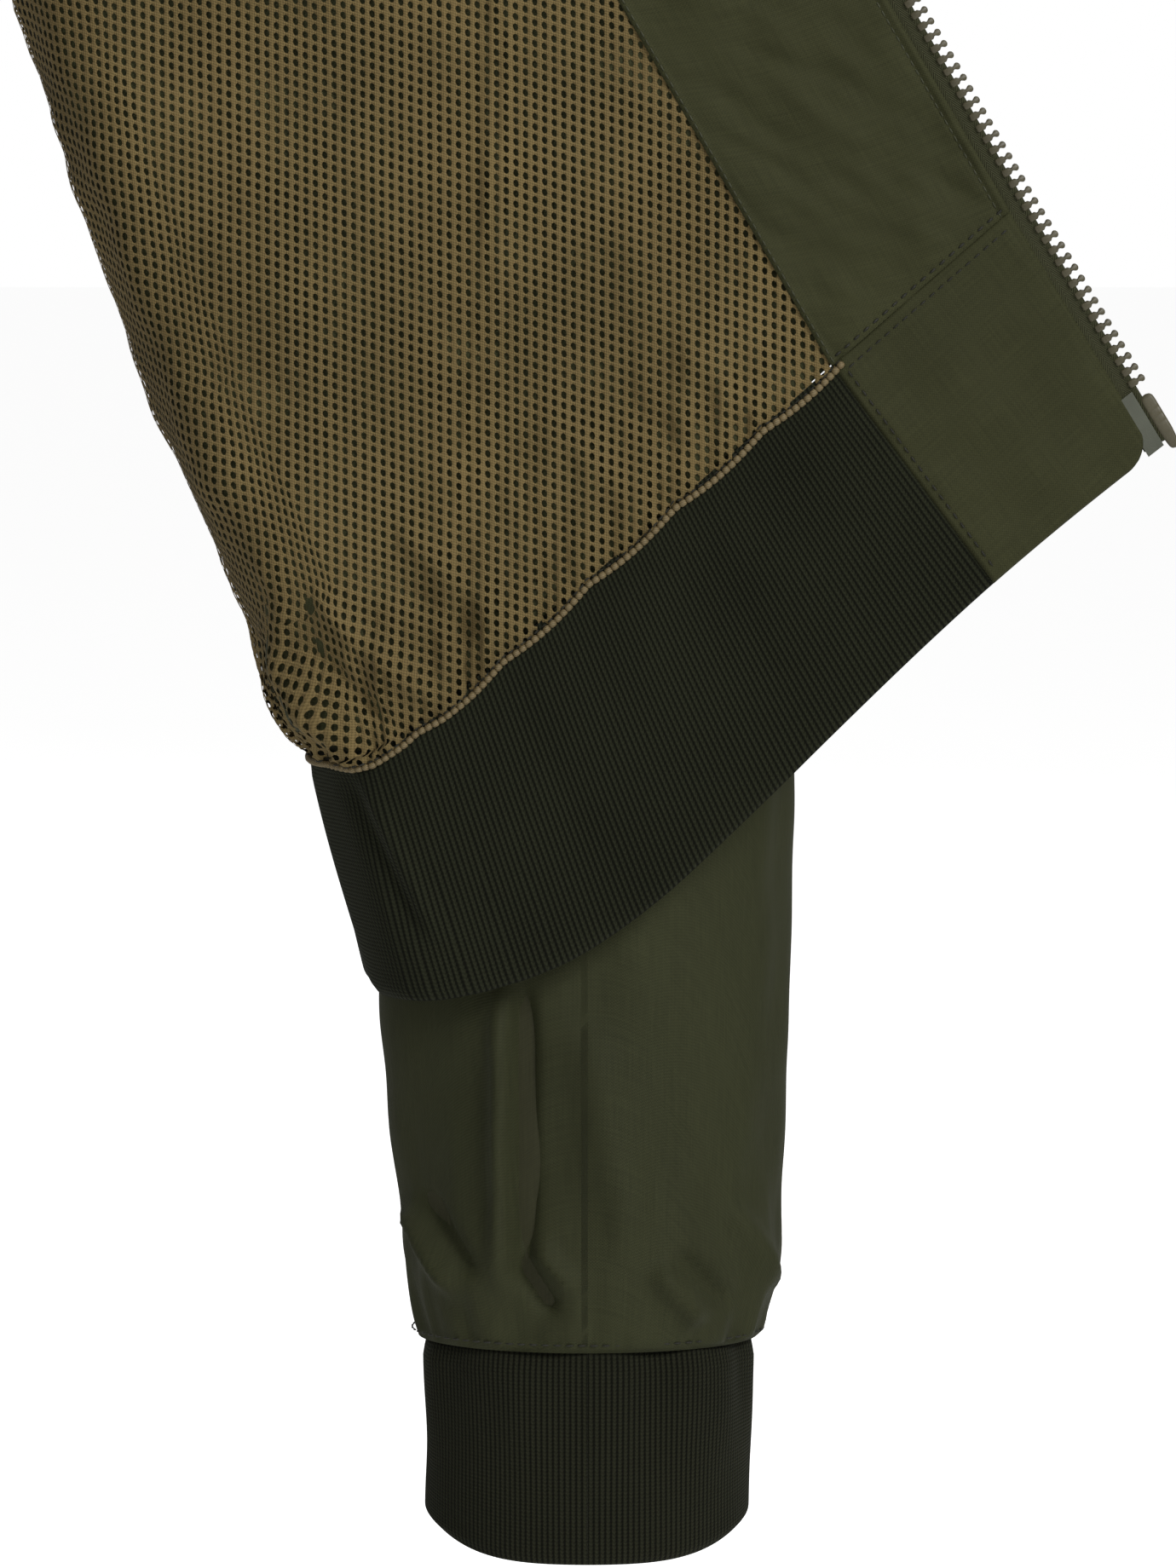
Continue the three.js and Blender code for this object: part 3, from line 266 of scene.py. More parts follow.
class LeftFront:
    """The turned-back left front: s is -1 to 0 inner leg, 0 to 1 round the roll, 1 to 2 outer leg."""

    @staticmethod
    def roll(angle: Array, v: Array) -> Array:
        """The roll: half an ellipse about the fold line, opening from the throat as 1 - (1 - v)^3."""
        share = 1 - (1 - clamp01(v)) ** 3
        fold = spline(FOLD_KNOTS, v)
        fold = fold + (FOLD_HEM - FOLD_KNOTS[-1]) * np.maximum(v - 1, 0)[..., None]
        width, depth = mix(9.0, 45.0, share), mix(7.0, 22.0, share)
        return fold + vector(width * np.sin(angle), depth * (1 - np.cos(angle)), 0 * v)

    @staticmethod
    def side(v: Array) -> Array:
        """The side edge: half round the armhole, then straight down the side seam."""
        share = (SHOULDER_Z - UNDERARM) / (SHOULDER_Z - RIB_TOP_Z)
        turn = math.pi * np.minimum(v / share, 1)
        z = np.where(v <= 1, mix(SHOULDER_Z, RIB_TOP_Z, v), mix(RIB_TOP_Z, HEM_Z, v - 1))
        z = np.where(v < share, ARM_CENTRE + ARM_HEIGHT * np.cos(turn), z)
        x = np.where(v < share, SHOULDER_X, SHOULDER_X + FLARE * smooth(0, FLARE_LENGTH, UNDERARM - z))
        return vector(x, -CLEARANCE - ARM_DEPTH * np.sin(turn) * (v < share), z)

    @classmethod
    def inner(cls, p: Array, v: Array) -> Array:
        """The inner leg: straight from side edge to roll, pulled at the top to shoulder and neck."""
        p, v = np.broadcast_arrays(p, v)
        first, last = cls.side(v), cls.roll(np.full(v.shape, -math.pi / 2), v)
        straight = first + (last - first) * p[..., None]
        top_first, top_last = cls.side(0 * v), cls.roll(np.full(v.shape, -math.pi / 2), 0 * v)
        tip, neck = top_first, np.array([NECK_X, -CLEARANCE, NECK_Z])
        edge = tip + (neck - tip) * np.minimum(p / 0.6, 1)[..., None]
        edge = edge + (top_last - neck) * np.maximum((p - 0.6) / 0.4, 0)[..., None]
        pull = edge - top_first - (top_last - top_first) * p[..., None]
        return straight + pull * (np.maximum(1 - v, 0) ** 2)[..., None]

    @staticmethod
    def zip_edge(v: Array) -> Array:
        """The zip edge: straight in depth and height, swinging out early in x as one less the sixth power."""
        upper = ZIP_TOP + (ZIP_RIB - ZIP_TOP) * np.minimum(v, 1)[..., None]
        upper[..., 0] = mix(ZIP_TOP[0], ZIP_RIB[0], 1 - np.maximum(1 - v, 0) ** 6)
        return upper + (ZIP_HEM - ZIP_RIB) * np.maximum(v - 1, 0)[..., None]

    @classmethod
    def outer(cls, q: Array, v: Array) -> Array:
        """The outer leg: straight from roll to zip edge, with the hem's sag near the fold."""
        q, v = np.broadcast_arrays(q, v)
        first, last = cls.roll(np.full(v.shape, math.pi / 2), v), cls.zip_edge(v)
        point = first + (last - first) * q[..., None]
        point[..., 2] -= 18 * (256 / 27) * q * np.maximum(1 - q, 0) ** 3 * clamp01(v - 1)
        return point

    @classmethod
    def leg_width(cls, v: Array) -> Array:
        """The outer leg's width square to the zip."""
        near = np.where(v >= 1, 1.0, np.maximum(v - 0.01, 0))
        far = np.where(v >= 1, 2.0, near + 0.01)
        along = unit(cls.zip_edge(far) - cls.zip_edge(near))
        leg = cls.zip_edge(v) - cls.roll(np.full(v.shape, math.pi / 2), v)
        return np.linalg.norm(np.cross(leg, along), axis=-1)

    @classmethod
    def leg_share(cls, v: Array, before_zip: Array | float) -> Array:
        """The share of the outer leg that lies a distance before the zip."""
        return np.maximum(0.02, 1 - before_zip / cls.leg_width(v))

    @classmethod
    def point(cls, s: Array, v: Array) -> Array:
        """Any point of the sheet: the mean of near stretches, which runs roll and outer leg together."""
        s, v = np.broadcast_arrays(np.asarray(s, float), np.asarray(v, float))
        reach = 0.085 * bell(s - 1, 0.3)
        taps = ((-2, 0.12), (-1, 0.23), (0, 0.3), (1, 0.23), (2, 0.12))
        return sum(weight * cls.stretch(s + k * reach, v) for k, weight in taps)

    @classmethod
    def stretch(cls, s: Array, v: Array) -> Array:
        """A point of the unsoftened sheet, by the stretch that s falls in."""
        leg, roll = cls.inner(np.minimum(s + 1, 1), v), cls.roll(math.pi * (clamp01(s) - 0.5), v)
        flap = cls.outer(np.maximum(s - 1, 0), v)
        return np.where((s <= 0)[..., None], leg, np.where((s <= 1)[..., None], roll, flap))


OUTER_ARM = np.array([225.8, 0, -46]), np.array([300.0, 0, -110]), np.array([332.0, 0, -400])
INNER_ARM = np.array([225.8, 0, -270]), np.array([257.45, 0, -290]), np.array([268.0, 0, -420])
WRIST_Z = -700


@dataclass(frozen=True)
class SleeveShape:
    """A sleeve of elliptical rings: level 0 at the armhole, 1 at the elbow, 2 and 3 at the cuff's ends."""

    sign: int

    @staticmethod
    def bezier(a: Array, b: Array, c: Array, t: Array) -> Array:
        """A quadratic curve through a and c, pulled towards b."""
        t = t[..., None]
        return a * (1 - t) ** 2 + 2 * b * t * (1 - t) + c * t * t

    def ring(self, level: Array, angle: Array, inset: Array | float = 0.0) -> Array:
        """Points round the sleeve and cuff.

        Args:
            level: the level down the sleeve.
            angle: the angle round the ring, 0 at the outer side, a quarter turn towards the back.
            inset: millimetres in from the outside.

        Returns:
            The points.
        """
        level, angle = np.broadcast_arrays(np.asarray(level, float), np.asarray(angle, float))
        bend, drop = np.minimum(level, 1), clamp01(level - 1)
        outer, inner = self.bezier(*OUTER_ARM, bend), self.bezier(*INNER_ARM, bend)
        outer[..., 2], inner[..., 2] = mix(outer[..., 2], WRIST_Z, drop), mix(inner[..., 2], WRIST_Z, drop)
        half, centre = (outer - inner) / 2, (outer + inner) / 2
        reach = np.linalg.norm(half, axis=-1) - inset
        upper = mix(70.0, 60.0, bend)
        lower = mix(60.0, 56.5, clamp01(drop / 0.62))
        lower = mix(lower, 48.0, np.maximum((drop - 0.62) / 0.38, 0) ** 2)
        depth = np.where(level <= 1, upper, lower) - inset
        depth = np.where(level > 2, mix(47.0, 46.0, np.sqrt(clamp01(level - 2))) - inset, depth)
        point = centre + unit(half) * (reach * np.cos(angle))[..., None]
        point[..., 1] += depth * np.sin(angle)
        point[..., 2] -= CUFF_HEIGHT * np.maximum(level - 2, 0)
        point[..., 0] *= self.sign
        return point


# ---- Shader maths ----


class Value:
    """A number that varies over a surface: a socket whose operators add Math nodes."""

    def __init__(self, nodes: "Nodes", socket: bpy.types.NodeSocket) -> None:
        """Wraps a socket of a material.

        Args:
            nodes: the material's node builder.
            socket: the output that carries the value.
        """
        self.nodes, self.socket = nodes, socket

    def math(self, operation: str, *others: "Value | float") -> "Value":
        """Returns the result of one Math node on this value and the others."""
        return self.nodes.make("ShaderNodeMath", {"operation": operation}, dict(enumerate((self, *others))))

    def __add__(self, other: "Value | float") -> "Value":
        """Sum."""
        return self.math("ADD", other)

    __radd__ = __add__

    def __sub__(self, other: "Value | float") -> "Value":
        """Difference."""
        return self.math("SUBTRACT", other)

    def __rsub__(self, other: float) -> "Value":
        """Difference from a number."""
        return self.math("MULTIPLY_ADD", -1.0, other)

    def __mul__(self, other: "Value | float") -> "Value":
        """Product."""
        return self.math("MULTIPLY", other)

    __rmul__ = __mul__

    def __truediv__(self, other: "Value | float") -> "Value":
        """Quotient."""
        return self.math("DIVIDE", other)

    def wave(self, period: float) -> "Value":
        """Returns the sine of this value with the given period."""
        return (self * (2 * math.pi / period)).math("SINE")

    def step(self, low: float, high: float) -> "Value":
        """Returns 0 at low and 1 at high, smooth between them; the ends may be given in either order."""
        settings = {"interpolation_type": "SMOOTHSTEP"}
        inputs = {"Value": self, "From Min": low, "From Max": high}
        return self.nodes.make("ShaderNodeMapRange", settings, inputs)


class Nodes:
    """Builds one material's nodes."""

    def __init__(self, name: str) -> None:
        """Makes an empty material.

        Args:
            name: the material's name.
        """
        self.material = bpy.data.materials.new(name)
        self.material.use_nodes = True
        self.tree = self.material.node_tree
        self.tree.nodes.clear()

    def make(
        self, kind: str, settings: dict | None = None, inputs: dict | None = None, output: int | str = 0
    ) -> Value:
        """Adds any node.

        Args:
            kind: the node's type.
            settings: its properties, set first.
            inputs: values or links of its sockets, by name or number.
            output: the socket that the returned value wraps.

        Returns:
            The chosen output.
        """
        node = self.tree.nodes.new(kind)
        for key, setting in (settings or {}).items():
            setattr(node, key, setting)
        for key, entry in (inputs or {}).items():
            if isinstance(entry, Value):
                self.tree.links.new(entry.socket, node.inputs[key])
            else:
                node.inputs[key].default_value = entry
        return Value(self, node.outputs[output] if len(node.outputs) else None)

    def uv(self) -> tuple[Value, Value, Value]:
        """Returns the UV map's vector and its u and v, in metres."""
        vector_value = self.make("ShaderNodeUVMap", {"uv_map": "UVMap"})
        parts = self.make("ShaderNodeSeparateXYZ", None, {0: vector_value})
        return vector_value, parts, Value(self, parts.socket.node.outputs[1])

    def place(self) -> Value:
        """Returns the Object coordinates, in metres."""
        return self.make("ShaderNodeTexCoord", None, None, "Object")

    def noise(self, where: Value, scale: float, detail: float = 2.0, roughness: float = 0.5) -> Value:
        """Returns a noise between 0 and 1 with about scale features per metre."""
        inputs = {"Vector": where, "Scale": scale, "Detail": detail, "Roughness": roughness}
        return self.make("ShaderNodeTexNoise", None, inputs)

    def blend(self, factor: Value, first: Sequence[float], second: Sequence[float]) -> Value:
        """Returns a colour between first and second."""
        inputs = {"Factor": factor, 6: (*first, 1.0), 7: (*second, 1.0)}
        return self.make("ShaderNodeMix", {"data_type": "RGBA", "clamp_factor": True}, inputs, 2)

    def shades(self, factor: Value, colour: Sequence[float], dark: float, light: float) -> Value:
        """Returns shades of one colour, from dark times to light times its own."""
        return self.blend(factor, tuple(c * dark for c in colour), tuple(c * light for c in colour))

    def bump(self, height: Value, distance: float, strength: float = 1.0) -> Value:
        """Returns a normal from a height between 0 and 1 that stands for the given distance in metres."""
        inputs = {"Height": height, "Strength": strength, "Distance": distance}
        return self.make("ShaderNodeBump", None, inputs)

    def finish(self, sockets: dict) -> bpy.types.Material:
        """Adds the surface shader with the given sockets and returns the material."""
        shader = self.make("ShaderNodeBsdfPrincipled", None, sockets)
        self.make("ShaderNodeOutputMaterial", None, {"Surface": shader})
        return self.material


def linear(red: int, green: int, blue: int) -> tuple[float, float, float]:
    """Returns the linear colour of a display colour given in 0 to 255."""
    def one(value: int) -> float:
        """The inverse of the display curve."""
        share = value / 255
        return share / 12.92 if share <= 0.04045 else ((share + 0.055) / 1.055) ** 2.4

    return one(red), one(green), one(blue)


# ---- Finishes ----


@dataclass(frozen=True)
class PlainWeave:
    """Closely woven cloth: a checker of warp and weft floats, slubs, a faint sheen and soft shade changes."""

    name: str
    colour: tuple[float, float, float]
    pitch: float = 0.00042
    depth: float = 0.00007
    roughness: float = 0.72
    sheen: float = 0.05

    def build(self) -> bpy.types.Material:
        """Makes the material: the sine of u times the sine of v, with threads of uneven shade."""
        n = Nodes(self.name)
        where, u, v = n.uv()
        weave = u.wave(2 * self.pitch) * v.wave(2 * self.pitch)
        slub_u = n.noise(n.make("ShaderNodeMapping", None, {0: where, "Scale": (2400, 60, 1)}), 1.0, 1.0)
        slub_v = n.noise(n.make("ShaderNodeMapping", None, {0: where, "Scale": (60, 2400, 1)}), 1.0, 1.0)
        cloud = n.noise(where, 14.0, 3.0)
        shade = (slub_u + slub_v) * 0.25 + 0.25 + weave * 0.1 + (cloud - 0.5) * 0.25
        height = weave * 0.5 + 0.5 + (slub_u + slub_v) * 0.35
        return n.finish({
            "Base Color": n.shades(shade.step(0.22, 0.82), self.colour, 0.68, 1.42),
            "Roughness": cloud * 0.14 + (self.roughness - 0.07),
            "Normal": n.bump(height, self.depth),
            "Sheen Weight": self.sheen, "Sheen Roughness": 0.45, "Sheen Tint": (0.8, 0.82, 0.7, 1.0),
            "Specular IOR Level": 0.12,
        })


@dataclass(frozen=True)
class MeshKnit:
    """Knitted mesh: oval holes in slanting rows between looped threads, cut out of the sheet."""

    name: str
    colour: tuple[float, float, float]
    across: float = 0.00259
    down: float = 0.0028
    slant: float = 0.309
    half_width: float = 0.00070
    half_height: float = 0.00096

    def build(self) -> bpy.types.Material:
        """Makes the material: each hole is an ellipse about a point of a grid whose rows slant."""
        n = Nodes(self.name)
        where, u, v = n.uv()
        wobble = n.noise(where, 1500.0, 1.0)
        x = (u / self.across + 400.0).math("FRACT") - 0.5
        y = ((v + u * self.slant) / self.down + 400.0).math("FRACT") - 0.5
        x, y = x * (self.across / self.half_width), y * (self.down / self.half_height)
        away = (x * x + y * y).math("SQRT") + (wobble - 0.5) * 0.3
        rim = away.step(0.94, 1.1)
        loops = ((v + u * self.slant).wave(self.down / 4) + u.wave(self.across / 4)) * 0.25 + 0.5
        fuzz = n.noise(where, 5200.0, 2.0)
        cloud = n.noise(where, 18.0, 2.0)
        height = away.step(0.9, 1.7) * 0.6 + loops * 0.25 + fuzz * 0.3
        shade = loops * 0.3 + fuzz * 0.4 + cloud * 0.35
        return n.finish({
            "Base Color": n.shades(shade.step(0.25, 0.8), self.colour, 0.5, 1.25),
            "Roughness": fuzz * 0.1 + 0.8,
            "Alpha": rim,
            "Normal": n.bump(height, 0.00045),
            "Sheen Weight": 0.05, "Sheen Roughness": 0.5, "Sheen Tint": (1.0, 0.92, 0.72, 1.0),
            "Specular IOR Level": 0.08,
        })


@dataclass(frozen=True)
class RibKnit:
    """Rib knit: V-shaped stitches climbing each wale, which is part of the mesh; u counts the wales."""

    name: str
    colour: tuple[float, float, float]
    pitch: float
    stitch: float = 0.0011

    def build(self) -> bpy.types.Material:
        """Makes the material: rows of slanting loops, with painted shade in the grooves and a painted highlight on
        the wales.
        """
        n = Nodes(self.name)
        where, u, v = n.uv()
        wale = (u / self.pitch + 1000.0).math("FRACT") - 0.5
        slant = v + wale.math("ABSOLUTE") * (self.stitch * 0.9)
        loops = slant.wave(self.stitch) * 0.5 + 0.5
        # painted shade and highlight: the colour is darkest in the grooves between the wales and lightest on their
        # tops; the same mask also raises the bump
        crown_shade_and_height = wale.math("ABSOLUTE").step(0.48, 0.12)
        fuzz, cloud = n.noise(where, 4200.0, 2.0), n.noise(where, 22.0, 2.0)
        shade = crown_shade_and_height * 0.55 + loops * 0.18 + (fuzz - 0.5) * 0.6 + (cloud - 0.5) * 0.3
        return n.finish({
            "Base Color": n.shades(shade.step(0.05, 0.85), self.colour, 0.28, 1.75),
            "Roughness": fuzz * 0.08 + 0.86,
            "Normal": n.bump(loops * crown_shade_and_height * 0.8 + fuzz * 0.3, 0.00028),
            "Sheen Weight": 0.06, "Sheen Roughness": 0.5, "Sheen Tint": (0.85, 0.88, 0.72, 1.0),
            "Specular IOR Level": 0.08,
        })


@dataclass(frozen=True)
class TapeWeave:
    """Woven zip tape: a herringbone of fine diagonal ribs that turns over every strip."""

    name: str
    colour: tuple[float, float, float]
    twill: float = 0.0011
    strip: float = 0.0042

    def build(self) -> bpy.types.Material:
        """Makes the material: diagonal waves mirrored about the middle of each strip."""
        n = Nodes(self.name)
        where, u, v = n.uv()
        side = ((u / self.strip + 100.0).math("FRACT") - 0.5).math("ABSOLUTE") * self.strip
        twill = (v + side * 2.0).wave(self.twill) * 0.5 + 0.5
        fuzz = n.noise(where, 3800.0, 2.0)
        return n.finish({
            "Base Color": n.shades(twill * 0.6 + fuzz * 0.4, self.colour, 0.5, 1.5),
            "Roughness": fuzz * 0.12 + 0.66,
            "Normal": n.bump(twill * 0.8 + fuzz * 0.2, 0.00022),
            "Sheen Weight": 0.05, "Specular IOR Level": 0.12,
        })


@dataclass(frozen=True)
class Moulded:
    """Moulded plastic or cast metal: fine grain, handling marks and slightly uneven gloss."""

    name: str
    colour: tuple[float, float, float]
    roughness: float = 0.42
    metallic: float = 0.0
    alpha: float = 1.0

    def build(self) -> bpy.types.Material:
        """Makes the material from two noises on Object coordinates."""
        n = Nodes(self.name)
        where = n.place()
        fine, broad = n.noise(where, 2600.0, 3.0), n.noise(where, 120.0, 2.0)
        return n.finish({
            "Base Color": n.shades(broad * 0.7 + fine * 0.3, self.colour, 0.7, 1.3),
            "Roughness": broad * 0.16 + fine * 0.1 + (self.roughness - 0.13),
            "Metallic": self.metallic,
            "Normal": n.bump(fine, 0.00004),
            "Alpha": self.alpha,
        })


@dataclass(frozen=True)
class Thread:
    """Twisted sewing thread, its plies turning about each stitch."""

    name: str
    colour: tuple[float, float, float]

    def build(self) -> bpy.types.Material:
        """Makes the material: a diagonal wave of u and v for the plies."""
        n = Nodes(self.name)
        _, u, v = n.uv()
        twist = (u + v * 0.7).wave(0.0005) * 0.5 + 0.5
        colour = n.shades(twist, self.colour, 0.55, 1.3)
        return n.finish({"Base Color": colour, "Roughness": 0.6, "Normal": n.bump(twist, 0.00005)})


RIB_PITCH = 0.0016
CUFF_PITCH = 0.00145
OLIVE = PlainWeave("olive_weave", linear(57, 58, 36))
OLIVE_SLEEVE = PlainWeave("olive_sleeve_weave", linear(54, 56, 36), roughness=0.66)
DARK_LINING = PlainWeave("dark_lining_weave", linear(58, 58, 40), pitch=0.0002, depth=0.00003, roughness=0.5)
KHAKI = MeshKnit("khaki_mesh", linear(124, 107, 70))
KHAKI_THREAD = Thread("khaki_thread", linear(124, 108, 74))
RIB = RibKnit("dark_rib", linear(33, 35, 24), RIB_PITCH)
CUFF = RibKnit("dark_cuff_rib", linear(33, 34, 24), CUFF_PITCH)
TAPE = TapeWeave("woven_tape", linear(64, 65, 45))
TEETH = Moulded("moulded_teeth", linear(82, 77, 57), 0.45)
METAL = Moulded("painted_casting", linear(84, 80, 60), 0.36, 0.6)
FILM = Moulded("clear_film", linear(84, 87, 74), 0.35)
SEAM_THREAD = Thread("dark_thread", linear(34, 34, 22))
OLIVE_THREAD = Thread("olive_thread", linear(66, 68, 46))
LOOP_CORD = Moulded("loop_cord", linear(58, 60, 40), 0.8)
RIB_WALE, CUFF_WALE = RIB_PITCH * 1000, CUFF_PITCH * 1000
WALE_COLUMNS = 5

Finish = PlainWeave | MeshKnit | RibKnit | TapeWeave | Moulded | Thread


@lru_cache(maxsize=None)
def material_of(finish: Finish) -> bpy.types.Material:
    """Returns the finish's material, made once."""
    return finish.build()


# ---- Meshes from grids ----


def new_piece(
    name: str, points: Array, faces: Array, uv: Array, finish: Finish, slot: Slot
) -> bpy.types.Object:
    """Makes a piece from points in drawing millimetres.

    Args:
        name: the piece's name.
        points: its points, N by 3.
        faces: its faces, M by 4 point numbers; one with a repeated corner becomes a triangle.
        uv: metres on the cloth for each point, N by 2.
        finish: its finish.
        slot: not used.

    Returns:
        The object.
    """
    mesh = bpy.data.meshes.new(name)
    corners = [tuple(dict.fromkeys(face)) for face in faces.tolist()]
    mesh.from_pydata(((points + SHIFT) / 1000).tolist(), [], corners)
    layer = mesh.uv_layers.new(name="UVMap")
    corner = np.empty(len(mesh.loops), np.int32)
    mesh.loops.foreach_get("vertex_index", corner)
    layer.data.foreach_set("uv", uv.reshape(-1, 2)[corner].astype(np.float32).ravel())
    mesh.polygons.foreach_set("use_smooth", np.full(len(mesh.polygons), True))
    mesh.materials.append(material_of(finish))
    mesh.validate()
    piece = bpy.data.objects.new(name, mesh)
    bpy.context.scene.collection.objects.link(piece)
    return piece


def grid_faces(rows: int, columns: int, around: bool = False) -> Array:
    """Returns the quads of a grid of rows by columns, closed round its columns if asked."""
    r, c = np.meshgrid(np.arange(rows - 1), np.arange(columns if around else columns - 1), indexing="ij")
    here, after = r * columns + c, r * columns + (c + 1) % columns
    return np.stack([here, after, after + columns, here + columns], -1).reshape(-1, 4)


def normals_of(grid: Array, around: bool = False) -> Array:
    """Returns the unit normals of a grid: the cross product of its steps along rows and columns."""
    if around:
        across = np.roll(grid, -1, 1) - np.roll(grid, 1, 1)
    else:
        across = np.gradient(grid, axis=1)
    return unit(np.cross(across, np.gradient(grid, axis=0)))


def slab(
    grid: Array, outward: Array, low: Array | float, high: Array | float, uv: Array, around: bool = False
) -> Arrays:
    """A closed sheet: the grid offset to low and to high along outward, with its edges joined.

    Args:
        grid: rows by columns of points.
        outward: unit vectors at the points.
        low: offset of the inner face, in millimetres.
        high: offset of the outer face.
        uv: metres on the cloth.
        around: whether the columns close on themselves.

    Returns:
        Points, faces that point outwards, and uv.
    """
    rows, columns = grid.shape[:2]
    size = rows * columns
    sheets = [grid + outward * np.broadcast_to(offset, (rows, columns))[..., None] for offset in (high, low)]
    points = np.concatenate(sheets).reshape(-1, 3)
    face = grid_faces(rows, columns, around)
    number = np.arange(size).reshape(rows, columns)
    rims = [number[0], number[-1][::-1]]
    if not around:
        rims += [number[::-1, 0], number[:, -1]]
    sides = []
    for rim in rims:
        rim = np.append(rim, rim[0]) if around else rim
        sides.append(np.stack([rim[1:], rim[:-1], rim[:-1] + size, rim[1:] + size], -1))
    faces = np.concatenate([face, face[:, ::-1] + size, *sides])
    if np.sum(np.cross(grid[1, 0] - grid[0, 0], grid[0, 1] - grid[0, 0]) * outward[0, 0]) > 0:
        faces = faces[:, ::-1]
    return points, faces, np.tile(uv.reshape(-1, 2), (2, 1))


def lengths(grid: Array, axis: int) -> Array:
    """Returns the running length along an axis of a grid, in millimetres, zero at its first entry."""
    step = np.linalg.norm(np.diff(grid, axis=axis), axis=-1)
    zero = np.zeros_like(np.take(step, [0], axis=axis))
    return np.concatenate([zero, np.cumsum(step, axis=axis)], axis=axis)


def even(surface: Surface, start: float, end: float, v: float, step: float) -> Arrays:
    """Columns spaced evenly by length.

    Args:
        surface: the surface.
        start: the first column's parameter.
        end: the last column's.
        v: the row along which the length is measured.
        step: the wanted spacing in millimetres.

    Returns:
        The parameters and their lengths from the start, in millimetres.
    """
    fine = np.linspace(start, end, 1500)
    run = lengths(surface(fine[None, :], np.array([[v]])), 1)[0]
    count = max(2, int(round(run[-1] / step)) + 1)
    at = np.linspace(0, run[-1], count)
    return np.interp(at, run, fine), at


def rib_relief(run: Array, pitch: float, height: float) -> Array:
    """The wales of a rib: the square root of a rectified cosine of the length across them."""
    return height * (np.sqrt(np.abs(np.cos(math.pi * run / pitch))) - 0.6)


def declare(piece: bpy.types.Object, grid: Array) -> None:
    """Logs the size a sheet is cut to, from the lengths and the area of its grid.

    Args:
        piece: the sheet.
        grid: its middle surface in millimetres.
    """
    width = max(10, math.ceil(lengths(grid, 1)[:, -1].max())) / 1000
    length = max(10, math.ceil(lengths(grid, 0)[-1].max())) / 1000
    cell = np.cross(grid[1:, :-1] - grid[:-1, :-1], grid[:-1, 1:] - grid[:-1, :-1])
    area = np.linalg.norm(cell, axis=-1).sum() / 1e6
    area = min(max(area, 0.31 * width * length), width * length)
    LOG.info("sheet %s: %.3f x %.3f m, %.4f m2", piece.name, width, length, area)


def across_fold(piece: bpy.types.Object) -> None:
    """Bakes the transform of a piece of the left front into its mesh."""
    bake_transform(piece)


@dataclass
class Stitches:
    """A row of thread stitches along a path: each is a short capsule that dips into the cloth at its ends."""

    pitch: float = 3.2
    length: float = 2.5
    radius: float = 0.32
    sides: int = 6
    rings: int = 5

    def arrays(self, path: Array, outward: Array) -> Arrays:
        """Points, faces and uv of the stitches.

        Args:
            path: points along the seam, in millimetres.
            outward: unit vectors out of the cloth at those points.

        Returns:
            The arrays of one mesh.
        """
        run = lengths(path[None], 1)[0]
        count = max(1, int(run[-1] / self.pitch))
        middle = (np.arange(count) + 0.5) * run[-1] / count
        t = np.linspace(-1, 1, self.rings)
        at = middle[:, None] + t * self.length / 2
        centre = np.stack([np.interp(at, run, path[:, k]) for k in range(3)], -1)
        up = unit(np.stack([np.interp(at, run, outward[:, k]) for k in range(3)], -1))
        side = unit(np.cross(unit(np.gradient(centre, axis=1)), up))
        centre += up * ((1 - t**2) * self.radius * 0.8)[None, :, None]
        turn = np.arange(self.sides) * 2 * math.pi / self.sides
        radius = self.radius * np.sqrt(np.maximum(1 - t**4, 0.06))
        ring = centre[:, :, None] + radius[None, :, None, None] * (
            side[:, :, None] * np.cos(turn)[:, None] + up[:, :, None] * np.sin(turn)[:, None])
        points = ring.reshape(-1, 3)
        body = grid_faces(self.rings, self.sides, True)
        size = self.rings * self.sides
        fan = np.array([[0, k, k + 1, k + 1] for k in range(1, self.sides - 1)])
        faces = np.concatenate([body, fan[:, ::-1], fan + size - self.sides])[:, ::-1]
        faces = (faces[None] + (np.arange(count) * size)[:, None, None]).reshape(-1, 4)
        uv = np.stack(np.broadcast_arrays(at[:, :, None], turn[None, None] * self.radius), -1)
        return points, faces, uv.reshape(-1, 2) / 1000


def seam_piece(
    name: str, seams: Sequence[Arrays], finish: Thread, stitches: Stitches, slot: Slot = Slot.SHELL
) -> bpy.types.Object:
    """Makes one piece of stitch rows along several paths."""
    points, faces, uv = zip(*(stitches.arrays(path, outward) for path, outward in seams))
    starts = np.cumsum([0, *map(len, points[:-1])])
    faces = [rows + start for rows, start in zip(faces, starts)]
    return new_piece(name, np.concatenate(points), np.concatenate(faces), np.concatenate(uv), finish, slot)


def closed(grid: Array, axis: int = 1) -> Array:
    """Returns a ring or tube with its first entry repeated at its end."""
    return np.concatenate([grid, np.take(grid, [0], axis=axis)], axis)


def ribbed(run: Array, t: Array) -> Array:
    """Half the thickness of a flat rib, in millimetres: its wales, thinned to a rounded end."""
    return (1.15 + rib_relief(run, RIB_WALE, 0.5)) * rounded_end(t)


def rounded_end(t: Array) -> Array:
    """Returns a share of the thickness by row that falls along a quarter ellipse at the end of t."""
    return np.sqrt(np.maximum(1 - smooth(0.93, 1.0, t) ** 2, 0.02))[:, None]


def eased(margin: Array) -> Array:
    """Returns a share of the thickness that is thin at the edge and full 1.6 mm inside it."""
    return np.sqrt(clamp01(margin / 1.6)) * 0.85 + 0.15


# ---- The turned-back left front ----


